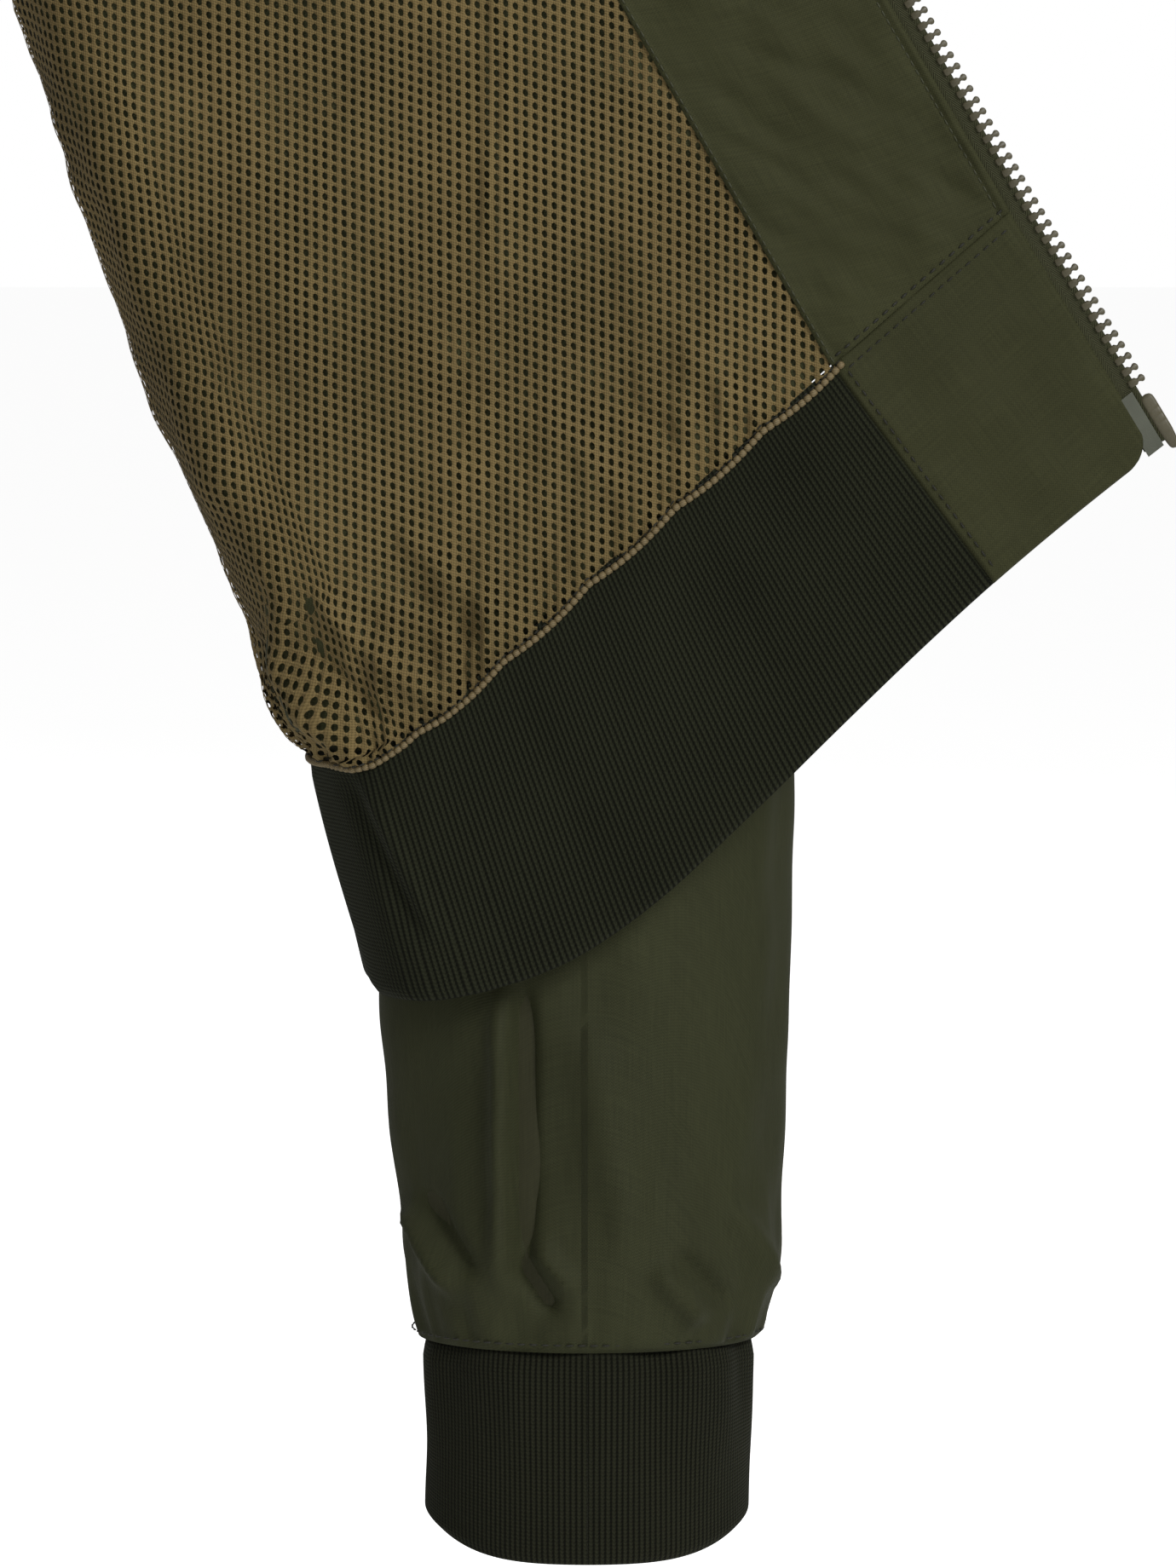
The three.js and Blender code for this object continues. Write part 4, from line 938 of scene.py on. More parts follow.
@dataclass
class LeftFrontPanels:
    """Shell, mesh lining, facing, rib and placket of the left front, as sheets that run across the fold."""

    shell_half: float = 0.4
    lining_gap: float = 1.15
    facing_gap: float = 1.5

    def seam(self, v: Array) -> Array:
        """The stretch s at which the facing starts, by row."""
        return 1 + LeftFront.leg_share(v, np.minimum(FACING, 0.8 * LeftFront.leg_width(v)))

    def grid(self, share: Array, rows: Array, ends: Callable[[Array], tuple[Array, Array]]) -> Arrays:
        """A grid between two stretches that change by row.

        Args:
            share: columns, 0 to 1 between the ends.
            rows: values of v.
            ends: the stretches of the first and last column, by row.

        Returns:
            The points, and the grids of s and v.
        """
        v = np.broadcast_to(rows[:, None], (len(rows), len(share)))
        low, high = ends(v)
        s = mix(low, high, share[None, :])
        return LeftFront.point(s, v), s, v

    @staticmethod
    def cloth_relief(u: Array, w: Array) -> Array:
        """Soft undulation of the shell cloth away from the lining, in millimetres."""
        return np.maximum(1.3 + 0.9 * waves(u, w, 70, 5) + 0.35 * waves(u, w, 22, 6), 0)

    def shell(self) -> None:
        """The shell from side seam to fabric edge."""
        share, rows = np.linspace(0, 1, 230), np.linspace(0, SEAM_ROW, 150)
        before = FACING_EDGE + 0.3
        grid, s, v = self.grid(share, rows, lambda v: (0 * v - 1, 1 + LeftFront.leg_share(v, before)))
        grid, normal, u, w = self.relaxed(grid, s, v)
        uv = np.stack([u, w], -1) / 1000
        points, faces, uv = slab(grid, normal, -self.shell_half, self.shell_half, uv)
        piece = new_piece("left_front_shell_cloth", points, faces, uv, OLIVE, Slot.SHELL)
        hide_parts("left_yoke_shell", "left_side_shell", "left_fold_shell", "left_front_shell")
        declare(piece, grid)
        across_fold(piece)

    def relaxed(self, grid: Array, s: Array, v: Array) -> Arrays:
        """Adds the shell's undulation, kept still at its edges, and returns points, normals and lengths."""
        u, w = lengths(grid, 1), lengths(grid, 0)
        hold = smooth(0, 0.12, v) * smooth(-1, -0.9, s)
        free = smooth(0, 0.05, 1 - np.minimum(v, 1)) * (1 - np.exp(-(((s - 0.5) / 0.7) ** 4)))
        normal = normals_of(grid)
        near = smooth(1.1, 0.7, s)
        puckers = self.puckers(*self.unrolled(grid, s), v, s)
        follow = mix(0.8, 0.95, near) * np.maximum(puckers - mix(0.5, 0.0, near), 0)
        follow = follow * smooth(0, 0.25, self.seam(v) - s)
        follow = follow * (1 - smooth(0.975, 1.0, v))
        grid = grid + normal * ((self.cloth_relief(u, w) * free - follow) * hold)[..., None]
        return grid, normals_of(grid), u, w

    @staticmethod
    def unrolled(grid: Array, s: Array) -> Arrays:
        """Flat places for the lining's pattern: y, continued by the length round the roll, and z."""
        run = lengths(grid, 1)
        flat = np.argmax(s >= 1, axis=1)[:, None]
        start = np.take_along_axis(grid[..., 1] - run, flat, 1)
        return np.where(s < 1, start + run, grid[..., 1]), grid[..., 2]

    def puckers(self, y: Array, z: Array, v: Array, s: Array) -> Array:
        """Relief of the lining towards the wearer's side: gathers at the rib seam and soft folds above it."""
        near = np.exp(-np.maximum(1 - v, 0) / 0.07)
        gathers = near * (1.6 * waves(y * 1.6, z, 16, 21, 5.0) + 1.0 * waves(y * 2.2, z, 9, 22, 4.0))
        soft = 1.3 * waves(y, z, 46, 23, 1.6) * smooth(0.35, 0.8, v) + 0.5 * waves(y, z, 20, 24)
        folds = creased(y, z, self.CREASES)
        blouse = 4.2 * bell(v - 0.955, 0.045) * smooth(0.2, 0.9, 2 - s)
        return (gathers + soft + folds + blouse) * smooth(0.02, 0.2, v)

    CREASES = (
        ((-96, -500), (-62, -538), 4.0, 3.2), ((-84, -498), (-50, -526), 3.0, -2.4),
        ((-78, -488), (-38, -519), 3.6, 3.4), ((-66, -478), (-30, -498), 3.0, -2.2),
        ((-52, -470), (-12, -505), 3.6, 2.6), ((-8, -440), (26, -478), 5.0, 2.8),
        ((4, -430), (42, -462), 4.0, -2.4), ((24, -418), (58, -452), 4.6, 2.6),
        ((40, -404), (72, -428), 4.0, -1.8), ((-40, -508), (8, -486), 3.4, 2.2),
        ((-24, -300), (-28, -400), 1.3, 2.0), ((-20.2, -300), (-24.2, -400), 1.3, 1.8),
        ((-28, -400), (-36, -470), 1.2, 1.2), ((-24.2, -400), (-32.2, -470), 1.2, 1.0),
    )

    def lining(self) -> None:
        """The mesh lining, from side seam to facing, with its lower edge rolled over the rib seam."""
        share, t = two_steps(0.3, 50, 250), two_steps(0.6, 70, 190)
        v0 = np.broadcast_to(t[:, None], (len(t), len(share)))
        s = mix(-1.0, self.seam(v0) + 0.015, share[None, :])
        flat = LeftFront.point(s, v0)
        scallop = 0.012 + 0.018 * np.abs(np.sin(flat[-1, :, 1] / 7.5)) + 0.03 * smooth(0.6, 1.2, 2 - s[-1])
        v = v0 * (1 + scallop[None, :] * smooth(-0.5, 0.9, s) * smooth(0.5, 1, v0))
        grid = LeftFront.point(s, v)
        u, z = self.unrolled(grid, s)
        normal = normals_of(LeftFront.point(s, np.minimum(v0, SEAM_ROW)))
        rim = 1 - smooth(0.972, 1.0, t)[:, None] ** 2
        side_hold = smooth(-1, -0.8, s)
        edge_hold = smooth(0, 0.03, self.seam(v0) + 0.015 - s)
        height = self.lining_gap + np.maximum(self.puckers(u, z, v, s), -0.4) * side_hold * edge_hold
        height = mix(1.0, height, rim)
        grid = grid - normal * height[..., None]
        uv = np.stack([u, z], -1) / 1000
        faces = grid_faces(*grid.shape[:2])[:, ::-1]
        piece = new_piece("left_front_mesh_lining", grid.reshape(-1, 3), faces, uv, KHAKI, Slot.MESH)
        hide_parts("left_yoke_lining", "left_side_lining", "left_fold_lining", "left_front_lining")
        declare(piece, grid)
        across_fold(piece)
        self.lining_seams(grid, normal, s)

    @staticmethod
    def lining_seams(grid: Array, normal: Array, s: Array) -> None:
        """A stitched binding along the lining's lower edge."""
        row = len(grid) - 8
        span = s[row] > 0.05
        path, out = grid[row][span] - normal[row][span] * 0.25, -normal[row][span]
        thin, thick = Stitches(2.6, 2.0, 0.24), Stitches(2.1, 2.7, 0.95, 8)
        across_fold(seam_piece("lining_edge_stitches", [(path, out)], SEAM_THREAD, thin, Slot.MESH))
        path = grid[-1][span] - normal[-1][span] * 0.5
        across_fold(seam_piece("lining_edge_roll", [(path, out)], KHAKI_THREAD, thick, Slot.MESH))

    def facing(self) -> None:
        """The facing strip with a turned edge each side and soft wrinkles."""
        share, rows = np.linspace(0, 1, 110), np.linspace(0.0, 1.0, 260)
        grid, _, v = self.grid(share, rows, lambda v: (self.seam(v), 1 + LeftFront.leg_share(v, FACING_EDGE)))
        normal = normals_of(grid)
        across, along = lengths(grid, 1), lengths(grid, 0)
        wide = across[:, -1:]
        lip = 0.5 * bell(across - 0.9, 0.9) + 0.55 * bell(wide - across - 1.0, 1.2)
        groove = -0.35 * bell(wide - across - 3.0, 0.6)
        hold = smooth(0, 4, across) * smooth(0, 4, wide - across) * smooth(0.02, 0.1, v)
        soft = (0.8 * waves(across, along, 30, 41, 1.4) + 0.35 * waves(across, along, 12, 42)) * hold
        creases = creased(grid[..., 1], grid[..., 2], (
            ((20, -352), (58, -372), 2.6, 0.9), ((38, -338), (76, -352), 2.2, -0.8),
            ((62, -378), (98, -392), 2.4, 0.8), ((76, -366), (112, -384), 2.0, -0.7)))
        puff = self.facing_gap + lip + groove + soft + creases * hold
        edge = smooth(0, 1.0, across) * smooth(0, 1.0, wide - across)
        uv = np.stack([across, along], -1) / 1000
        points, faces, uv = slab(grid, normal, -puff - 0.35 * edge, -puff + 0.5, uv)
        piece = new_piece("left_front_facing_cloth", points, faces, uv, OLIVE, Slot.SHELL)
        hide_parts("left_yoke_facing", "left_front_facing")
        declare(piece, grid)
        across_fold(piece)
        top = grid - normal * (puff + 0.35)[..., None]
        double = [(top[6:, column], -normal[6:, column]) for column in (104, 2)]
        seam = [(top[-2, 3:-2], -normal[-2, 3:-2])]
        across_fold(seam_piece("facing_edge_stitches", double, OLIVE_THREAD, Stitches(2.6, 2.1, 0.22)))
        across_fold(seam_piece("facing_cross_stitches", seam, SEAM_THREAD, Stitches(3.4, 2.2, 0.34)))

    def rib(self) -> None:
        """The hem rib in two pieces that meet in the roll: one sheet from side seam to placket."""
        end = 1 + float(LeftFront.leg_share(np.array(1.5), PLACKET + 4.0))
        columns, run = even(LeftFront.point, -0.98, end, 1.6, RIB_WALE / WALE_COLUMNS)
        t = two_steps(0.9, 22, 8)
        v = 1 + np.broadcast_to(t[:, None], (len(t), len(columns)))
        width = mix(FACING, PLACKET, clamp01(v - 1))
        limit = 1 + LeftFront.leg_share(v, width - 1.6)
        s = -0.98 + (columns[None, :] + 0.98) * (limit + 0.98) / (end + 0.98)
        grid = LeftFront.point(s, v)
        normal = normals_of(LeftFront.point(s, 1 + 0.98 * (v - 1)))
        dent = creased(grid[..., 1], grid[..., 2], (
            ((-66, -537), (-46, -582), 3.0, 1.8), ((-61, -540), (-42, -580), 2.4, -1.6),
            ((-20, -512), (0, -556), 5.0, 0.8), ((30, -470), (52, -512), 5.0, 0.7)))
        wavy = 0.8 * waves(run[None, :], RIB_HEIGHT * t[:, None], 38, 51, 3.0) + dent
        tucked = mix(1.0, 0.25, smooth(run[-1] - 3.2, run[-1] - 1.2, run))[None, :]
        high = ribbed(run[None, :], t) * tucked
        grid = grid + normal * (wavy * smooth(0, 0.15, t)[:, None])[..., None]
        uv = np.stack(np.broadcast_arrays(run[None, :], RIB_HEIGHT * t[:, None]), -1) / 1000
        points, faces, uv = slab(grid, normal, -high, high, uv)
        piece = new_piece("left_hem_rib_knit", points, faces, uv, RIB, Slot.RIB)
        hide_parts("left_side_rib", "left_fold_rib", "left_front_rib")
        declare(piece, grid)
        across_fold(piece)

    def placket(self) -> None:
        """The cloth block at the zip end of the hem, with a turned edge and a rounded corner."""
        share = np.linspace(0, 1, 90)
        v = 1 + np.broadcast_to(share[:, None], (len(share), len(share)))
        far = 1 + LeftFront.leg_share(v, mix(FACING, PLACKET, v - 1))
        near = 1 + LeftFront.leg_share(v, FACING_EDGE)
        grid = LeftFront.point(mix(far, near, share[None, :]), v)
        across, along = lengths(grid, 1), lengths(grid, 0)
        wide, deep = across[:, -1:], along[-1:]
        radius = 9.0
        over_u, over_v = np.maximum(across - wide + radius, 0), np.maximum(along - deep + radius, 0)
        reach = np.maximum(np.hypot(over_u, over_v) / radius, 1.0)
        pull = (1 - 1 / reach)[..., None]
        along_u, along_v = (unit(np.gradient(grid, axis=axis)) for axis in (1, 0))
        grid = grid - pull * (over_u[..., None] * along_u + over_v[..., None] * along_v)
        normal = normals_of(LeftFront.point(mix(far, near, share[None, :]), v))
        margin = np.minimum(np.minimum(across, wide - across), deep - along)
        edge = eased(margin)
        soft = 0.5 * waves(across, along, 24, 61) * smooth(0, 5, margin)
        groove = 0.3 * bell(margin - 2.2, 0.5)
        uv = np.stack([across, along], -1) / 1000
        points, faces, uv = slab(grid, normal, -PLACKET_HALF * edge - soft + groove, PLACKET_HALF * edge - groove, uv)
        piece = new_piece("left_hem_placket_cloth", points, faces, uv, OLIVE, Slot.SHELL)
        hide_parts("left_hem_placket")
        declare(piece, grid)
        across_fold(piece)
        top = grid - normal * (PLACKET_HALF - STITCH_SINK + soft - groove)[..., None]
        rows = [(top[4:-4, 4], -normal[4:-4, 4]), (top[4, 4:-4], -normal[4, 4:-4])]
        across_fold(seam_piece("placket_edge_stitches", rows, SEAM_THREAD, Stitches(3.2, 2.2, 0.26)))

    def build(self) -> None:
        """Builds every panel of the left front."""
        for step in (self.shell, self.lining, self.facing, self.rib, self.placket):
            step()
            LOG.info("left front: %s", step.__name__)


# ---- Zip ----

TEETH_START = 5.6
TAPE_ACROSS = (-7.7, -0.4)


@dataclass
class Chain:
    """A path for teeth: a is along it, b across towards the free edge and c through it, in millimetres."""

    points: Array
    across: Array

    def __post_init__(self) -> None:
        """Works out the running length and squares the across vectors to the path."""
        self.run = lengths(self.points[None], 1)[0]
        self.along = unit(np.gradient(self.points, axis=0))
        self.across = unit(self.across - self.along * np.sum(self.along * self.across, -1, keepdims=True))
        self.through = np.cross(self.along, self.across)

    def place(self, a: Array, b: Array, c: Array) -> Array:
        """Carries flat coordinates on to the path."""
        def at(values: Array) -> Array:
            """The path's vectors at the lengths a."""
            return np.stack([np.interp(a, self.run, values[:, k]) for k in range(3)], -1)

        past = np.maximum(a - self.run[-1], 0)[..., None] * self.along[-1]
        b, c = np.asarray(b)[..., None], np.asarray(c)[..., None]
        return at(self.points) + past + at(self.across) * b + at(self.through) * c


@dataclass
class ZipTeeth:
    """Moulded teeth: a square block on the tape, a neck and a rounded head, with eased edges."""

    pitch: float = 3.5
    half_thick: float = 1.3
    ease: float = 0.28

    def outline(self) -> Array:
        """Half the outline as across and half width, mirrored into a closed loop."""
        half = np.array([
            (-2.0, 0.7), (-1.75, 1.0), (0.15, 1.02), (0.45, 0.8), (0.75, 0.5), (1.15, 0.46),
            (1.5, 0.72), (1.8, 0.96), (2.25, 0.98), (2.65, 0.7), (2.85, 0.28),
        ])
        return np.concatenate([half, half[::-1] * np.array([1, -1])])

    def arrays(self, chain: Chain, start: float, end: float) -> Arrays:
        """Points, quads and uv of every tooth from start to end along the chain."""
        flat = self.outline()
        middle = np.array([0.4, 0.0])
        outward = unit(flat - middle)
        top, ease = self.half_thick, self.ease
        layers = [(-top, ease), (-top + ease, 0), (top - ease, 0), (top, ease)]
        rings = [np.column_stack([flat - outward * inset, np.full(len(flat), c)]) for c, inset in layers]
        caps = [np.array([[middle[0], middle[1], c]]) for c in (-top, top)]
        local = np.concatenate([*rings, *caps])
        n = len(flat)
        faces = [grid_faces(4, n, True)]
        k = np.arange(n)
        low, high = np.full(n, 4 * n), np.full(n, 4 * n + 1)
        faces.append(np.stack([low, (k + 1) % n, k, k], -1))
        faces.append(np.stack([high, 3 * n + k, 3 * n + (k + 1) % n, 3 * n + (k + 1) % n], -1))
        count = int((end - start) / self.pitch)
        at = start + (np.arange(count) + 0.5) * self.pitch
        across, along, through = (local[None, :, k] + 0 * at[:, None] for k in range(3))
        points = chain.place(at[:, None] + along, across, through)
        faces = np.concatenate(faces)[None] + (np.arange(count) * len(local))[:, None, None]
        points = points.reshape(-1, 3)
        return points, faces.reshape(-1, 4)[:, ::-1], np.zeros((len(points), 2))


def rod(chain: Chain, a: Array, b: float, width: Array, thick: Array) -> Arrays:
    """A closed rod along a chain with super-elliptical sections.

    Args:
        chain: the path.
        a: lengths of the sections.
        b: the rod's middle across the path.
        width: half widths of the sections.
        thick: half thicknesses.

    Returns:
        The arrays of one mesh.
    """
    sides = 20
    turn = np.arange(sides) * 2 * math.pi / sides
    cosine, sine = np.cos(turn), np.sin(turn)
    box_c, box_s = np.sign(cosine) * np.abs(cosine) ** 0.55, np.sign(sine) * np.abs(sine) ** 0.55
    where = np.broadcast_to(a[:, None], (len(a), sides))
    points = chain.place(where, b + width[:, None] * box_c, thick[:, None] * box_s)
    ends = chain.place(a[[0, -1]], np.full(2, b), np.zeros(2))
    faces = grid_faces(len(a), sides, True)
    k, size = np.arange(sides), len(a) * sides
    first = np.stack([np.full(sides, size), (k + 1) % sides, k, k], -1)
    end, after = size - sides + k, size - sides + (k + 1) % sides
    last = np.stack([np.full(sides, size + 1), end, after, after], -1)
    points = np.concatenate([points.reshape(-1, 3), ends])
    uv = np.stack(np.broadcast_arrays(a[:, None], turn[None]), -1).reshape(-1, 2)
    uv = np.concatenate([uv, np.zeros((2, 2))]) / 1000
    return points, np.concatenate([faces, first, last])[:, ::-1], uv


@dataclass
class LeftZip:
    """The left half of the zip: tape, bead, teeth, pin, top stop and film, on the flap's free edge."""

    pin: float = 17.0
    film_length: float = 6.0
    tape_half: float = 0.4

    def build(self) -> None:
        """Builds the pieces; the pin and the end tacks go on the left front's body."""
        v = np.linspace(0, 2, 420)
        edge = LeftFront.zip_edge(v)
        ruling = unit(edge - LeftFront.roll(np.full(v.shape, math.pi / 2), v))
        chain = Chain(edge, ruling)
        total = chain.run[-1]
        share = np.linspace(0, 1, 14)
        a = np.broadcast_to(chain.run[::3, None], (len(chain.run[::3]), len(share)))
        b = mix(*TAPE_ACROSS, share)[None, :] + 0 * a
        grid = chain.place(a, b, 0 * a)
        normal = -normals_of(grid)
        facing_way = np.sign(np.sum(normal[0, 0] * chain.through[0]))
        normal = normal * facing_way
        uv = np.stack([b, a], -1) / 1000
        bead = 0.5 * bell(b + 1.2, 0.6)
        points, faces, uv = slab(grid, normal, -self.tape_half - bead, self.tape_half + bead, uv)
        tape = new_piece("left_zip_tape_cloth", points, faces, uv, TAPE, Slot.TAPE)
        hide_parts("left_zip_tape_upper", "left_zip_tape")
        declare(tape, grid)
        across_fold(tape)
        lower_end = total - self.pin * 0.85
        points, faces, uv = ZipTeeth().arrays(chain, TEETH_START, lower_end)
        teeth = new_piece("left_zip_moulded_teeth", points, faces, uv, TEETH, Slot.TEETH)
        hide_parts("left_zip_teeth_upper", "left_zip_teeth")
        across_fold(teeth)
        along = np.linspace(lower_end + 0.3, lower_end + self.pin, 60)
        share = (along - along[0]) / (along[-1] - along[0])
        dimple = 1 - 0.14 * sum(bell(share - at, 0.02) for at in (0.28, 0.4, 0.52))
        taper = np.sqrt(np.maximum(1 - np.abs(2 * share - 1) ** 14, 0.02))
        taper = taper * mix(1.0, 0.78, smooth(0.6, 1, share))
        shape = rod(chain, along, 0.4, 1.9 * taper, 1.3 * taper * dimple)
        pin = new_piece("left_insertion_pin_moulded", *shape, TEETH, Slot.TEETH)
        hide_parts("left_insertion_pin")
        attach(pin, Body.LEFT_FRONT.value)
        stop = np.linspace(0.2, 5.0, 24)
        ease = np.sqrt(np.maximum(1 - np.abs(2 * (stop - 2.6) / 4.9) ** 6, 0.05))
        shape = rod(chain, stop, 0.6, 2.2 * ease, 1.35 * ease)
        block = new_piece("left_top_stop_moulded", *shape, TEETH, Slot.TEETH)
        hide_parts("left_top_stop")
        across_fold(block)
        tack = total - self.film_length
        rows = []
        for shift in np.linspace(0, 5.0, 6):
            at = np.full(12, tack + shift)
            line = chain.place(at, np.linspace(-7.0, -2.6, 12), np.full(12, 0.55 * facing_way))
            rows.append((line, np.tile(chain.through[-1] * facing_way, (12, 1))))
        tacks = seam_piece("zip_end_tacks", rows, OLIVE_THREAD, Stitches(1.4, 1.3, 0.24), Slot.TAPE)
        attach(tacks, Body.LEFT_FRONT.value)


@dataclass
class RightZip:
    """The right half of the zip, its box and the slider, whose solids are shown and dressed."""

    def build(self) -> None:
        """Builds tape and teeth down the centre line."""
        v = np.linspace(0, 2, 240)
        edge = RIGHT_FRONT.point(np.full(v.shape, angle_at(-ZIP_OFFSET - ZIP_STRIP)), v)
        first, last = edge[0].copy(), edge[-1].copy()
        first[0] = last[0] = -ZIP_OFFSET
        edge = first + (last - first) * (v / 2)[:, None]
        chain = Chain(edge, np.tile([1.0, 0, 0], (len(v), 1)))
        a, b = np.meshgrid(chain.run[::2], np.linspace(*TAPE_ACROSS, 12), indexing="ij")
        grid = chain.place(a, b, 0 * a)
        normal = normals_of(grid)
        points, faces, uv = slab(grid, normal, -0.4, 0.4, np.stack([b, a], -1) / 1000)
        tape = new_piece("right_zip_tape_cloth", points, faces, uv, TAPE, Slot.TAPE)
        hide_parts("right_zip_tape")
        declare(tape, grid)
        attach(tape, Body.JACKET.value)
        points, faces, uv = ZipTeeth().arrays(chain, TEETH_START, chain.run[-1] - 9.3)
        teeth = new_piece("right_zip_moulded_teeth", points, faces, uv, TEETH, Slot.TEETH)
        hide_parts("right_zip_teeth")
        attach(teeth, Body.JACKET.value)


# ---- Sleeves ----

RING_RADIUS = 48.0
CUFF_WALES = 178
ARMHOLE_BLEND = (0.2258, 0.268)


@dataclass
class Sleeve:
    """One sleeve with its lining and rib cuff."""

    sign: int
    name: str
    body: Body
    creases: tuple = ()

    def relief(self, grid: Array, level: Array, angle: Array, u: Array) -> Array:
        """Wrinkles: soft waves, gathers over the cuff and creases given in the side view's y and z."""
        y, z = grid[..., 1], grid[..., 2]
        near = np.exp(-np.maximum(2 - level, 0) / 0.09)
        gathers = near * (1.2 * waves(u, z, 24, 71, 3.0) + 0.8 * waves(u, z, 11, 72, 3.0))
        # The noise meets itself round the sleeve because it is read from the ring's own place.
        soft = 1.5 * waves(y + grid[..., 0], z, 75, 73 + self.sign, 2.4)
        soft = soft + 0.5 * waves(y - grid[..., 0], z, 26, 75, 1.5)
        outside = np.cos(angle)
        folds = 2.6 * creased(y, z, self.creases) * smooth(0.0, 0.35, outside)
        bend = 2.2 * bell(level - 1.0, 0.16) * np.sin(z / 9.0 + 1.5 * outside) * smooth(0.1, 0.8, -outside)
        puff = 2.6 * bell(level - 1.93, 0.06)
        return (gathers + soft + folds + bend + puff) * smooth(0, 0.12, level)

    def tube(self, levels: Array, sides: int) -> Arrays:
        """Points, outward vectors, levels, angles and the length round each ring."""
        level, angle = np.meshgrid(levels, np.arange(sides) * 2 * math.pi / sides, indexing="ij")
        shape = SleeveShape(self.sign)
        grid = shape.ring(level, angle)
        centre = grid.mean(axis=1, keepdims=True)
        normal = normals_of(grid, True)
        normal = normal * np.sign(np.sum(normal * (grid - centre), -1, keepdims=True))
        return grid, normal, level, angle, angle * RING_RADIUS

    def attach(self, piece: bpy.types.Object) -> None:
        """Bakes a piece's transform into its mesh; the ends of the armhole blend are worked out but not used."""
        start, end = ((x * self.sign, 0, 0) for x in ARMHOLE_BLEND)
        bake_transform(piece)

    def seam(
        self, part: str, levels: Sequence[float], sides: int, lift: float, finish: Thread, stitches: Stitches
    ) -> bpy.types.Object:
        """A row of stitches round the sleeve, at the middle one of three levels and lifted off it."""
        ring, out, *_ = self.tube(np.array(levels), sides)
        path, out = closed(ring[1], 0), closed(out[1], 0)
        return seam_piece(f"{self.name}_{part}_stitches", [(path + out * lift, out)], finish, stitches)

    def build(self) -> None:
        """Builds shell, lining, cuff and the cuff's seam."""
        levels = np.concatenate([np.linspace(0, 1.4, 90)[:-1], np.linspace(1.4, 2.0, 90)])
        grid, normal, level, angle, u = self.tube(levels, 180)
        lift = self.relief(grid, level, angle, u)
        tuck = 1 - smooth(1.988, 2.0, level) ** 2
        grid = grid + normal * (lift * tuck)[..., None]
        uv = np.stack([u, lengths(grid, 0)], -1) / 1000
        points, faces, uv = slab(grid, normal, -1.1, -0.1, uv, True)
        shell = new_piece(f"{self.name}_shell_cloth", points, faces, uv, OLIVE_SLEEVE, Slot.SHELL)
        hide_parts(f"{self.name}_shell")
        declare(shell, closed(grid))
        self.attach(shell)
        inner, inner_normal, level, angle, u = self.tube(np.linspace(0.0, 1.99, 60), 90)
        inner = inner - inner_normal * 2.6
        uv = np.stack([u, lengths(inner, 0)], -1) / 1000
        points, faces, uv = slab(inner, inner_normal, -0.5, 0.0, uv, True)
        lining = new_piece(f"{self.name}_lining_cloth", points, faces, uv, DARK_LINING, Slot.SLEEVE_LINING)
        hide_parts(f"{self.name}_lining")
        declare(lining, closed(inner))
        self.attach(lining)
        self.cuff()
        stitches = self.seam("cuff", (1.985, 1.992, 1.998), 180, 1.1, SEAM_THREAD, Stitches(3.4, 2.4, 0.3))
        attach(stitches, self.body.value)
        stitches = self.seam("armhole", (0.012, 0.02, 0.03), 220, 0.6, OLIVE_THREAD, Stitches(3.2, 2.4, 0.24))
        self.attach(stitches)

    def cuff(self) -> None:
        """The rib cuff: a folded tube, rounded at its edge, whose wales run down it."""
        t = two_steps(0.88, 20, 9)
        grid, normal, level, angle, u = self.tube(2 + 1e-6 + t, CUFF_WALES * WALE_COLUMNS)
        run = angle * CUFF_WALES * CUFF_PITCH * 1000 / (2 * math.pi)
        z = grid[..., 2]
        gather = 0.9 * waves(u, z, 26, 81, 3.0) * smooth(0.75, 0.0, level - 2) + 0.5 * waves(u, z, 50, 82)
        neck = -1.4 * bell(t, 0.05)[:, None]
        grid[..., 2] += 9.0 * np.sin(angle) ** 4 * (level - 2) ** 2
        middle = grid + normal * ((gather + neck) * (1 - smooth(0.98, 1, t))[:, None] - 1.5)[..., None]
        high = (1.2 + rib_relief(run, CUFF_WALE, 0.42)) * rounded_end(t)
        uv = np.stack([run, CUFF_HEIGHT * (level - 2)], -1) / 1000
        points, faces, uv = slab(middle, normal, -high, high, uv, True)
        cuff = new_piece(f"{self.name}_cuff_knit", points, faces, uv, CUFF, Slot.RIB)
        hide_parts(self.name.replace("sleeve", "cuff"))
        declare(cuff, closed(middle))
        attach(cuff, self.body.value)


# ---- Back, right front and collar ----


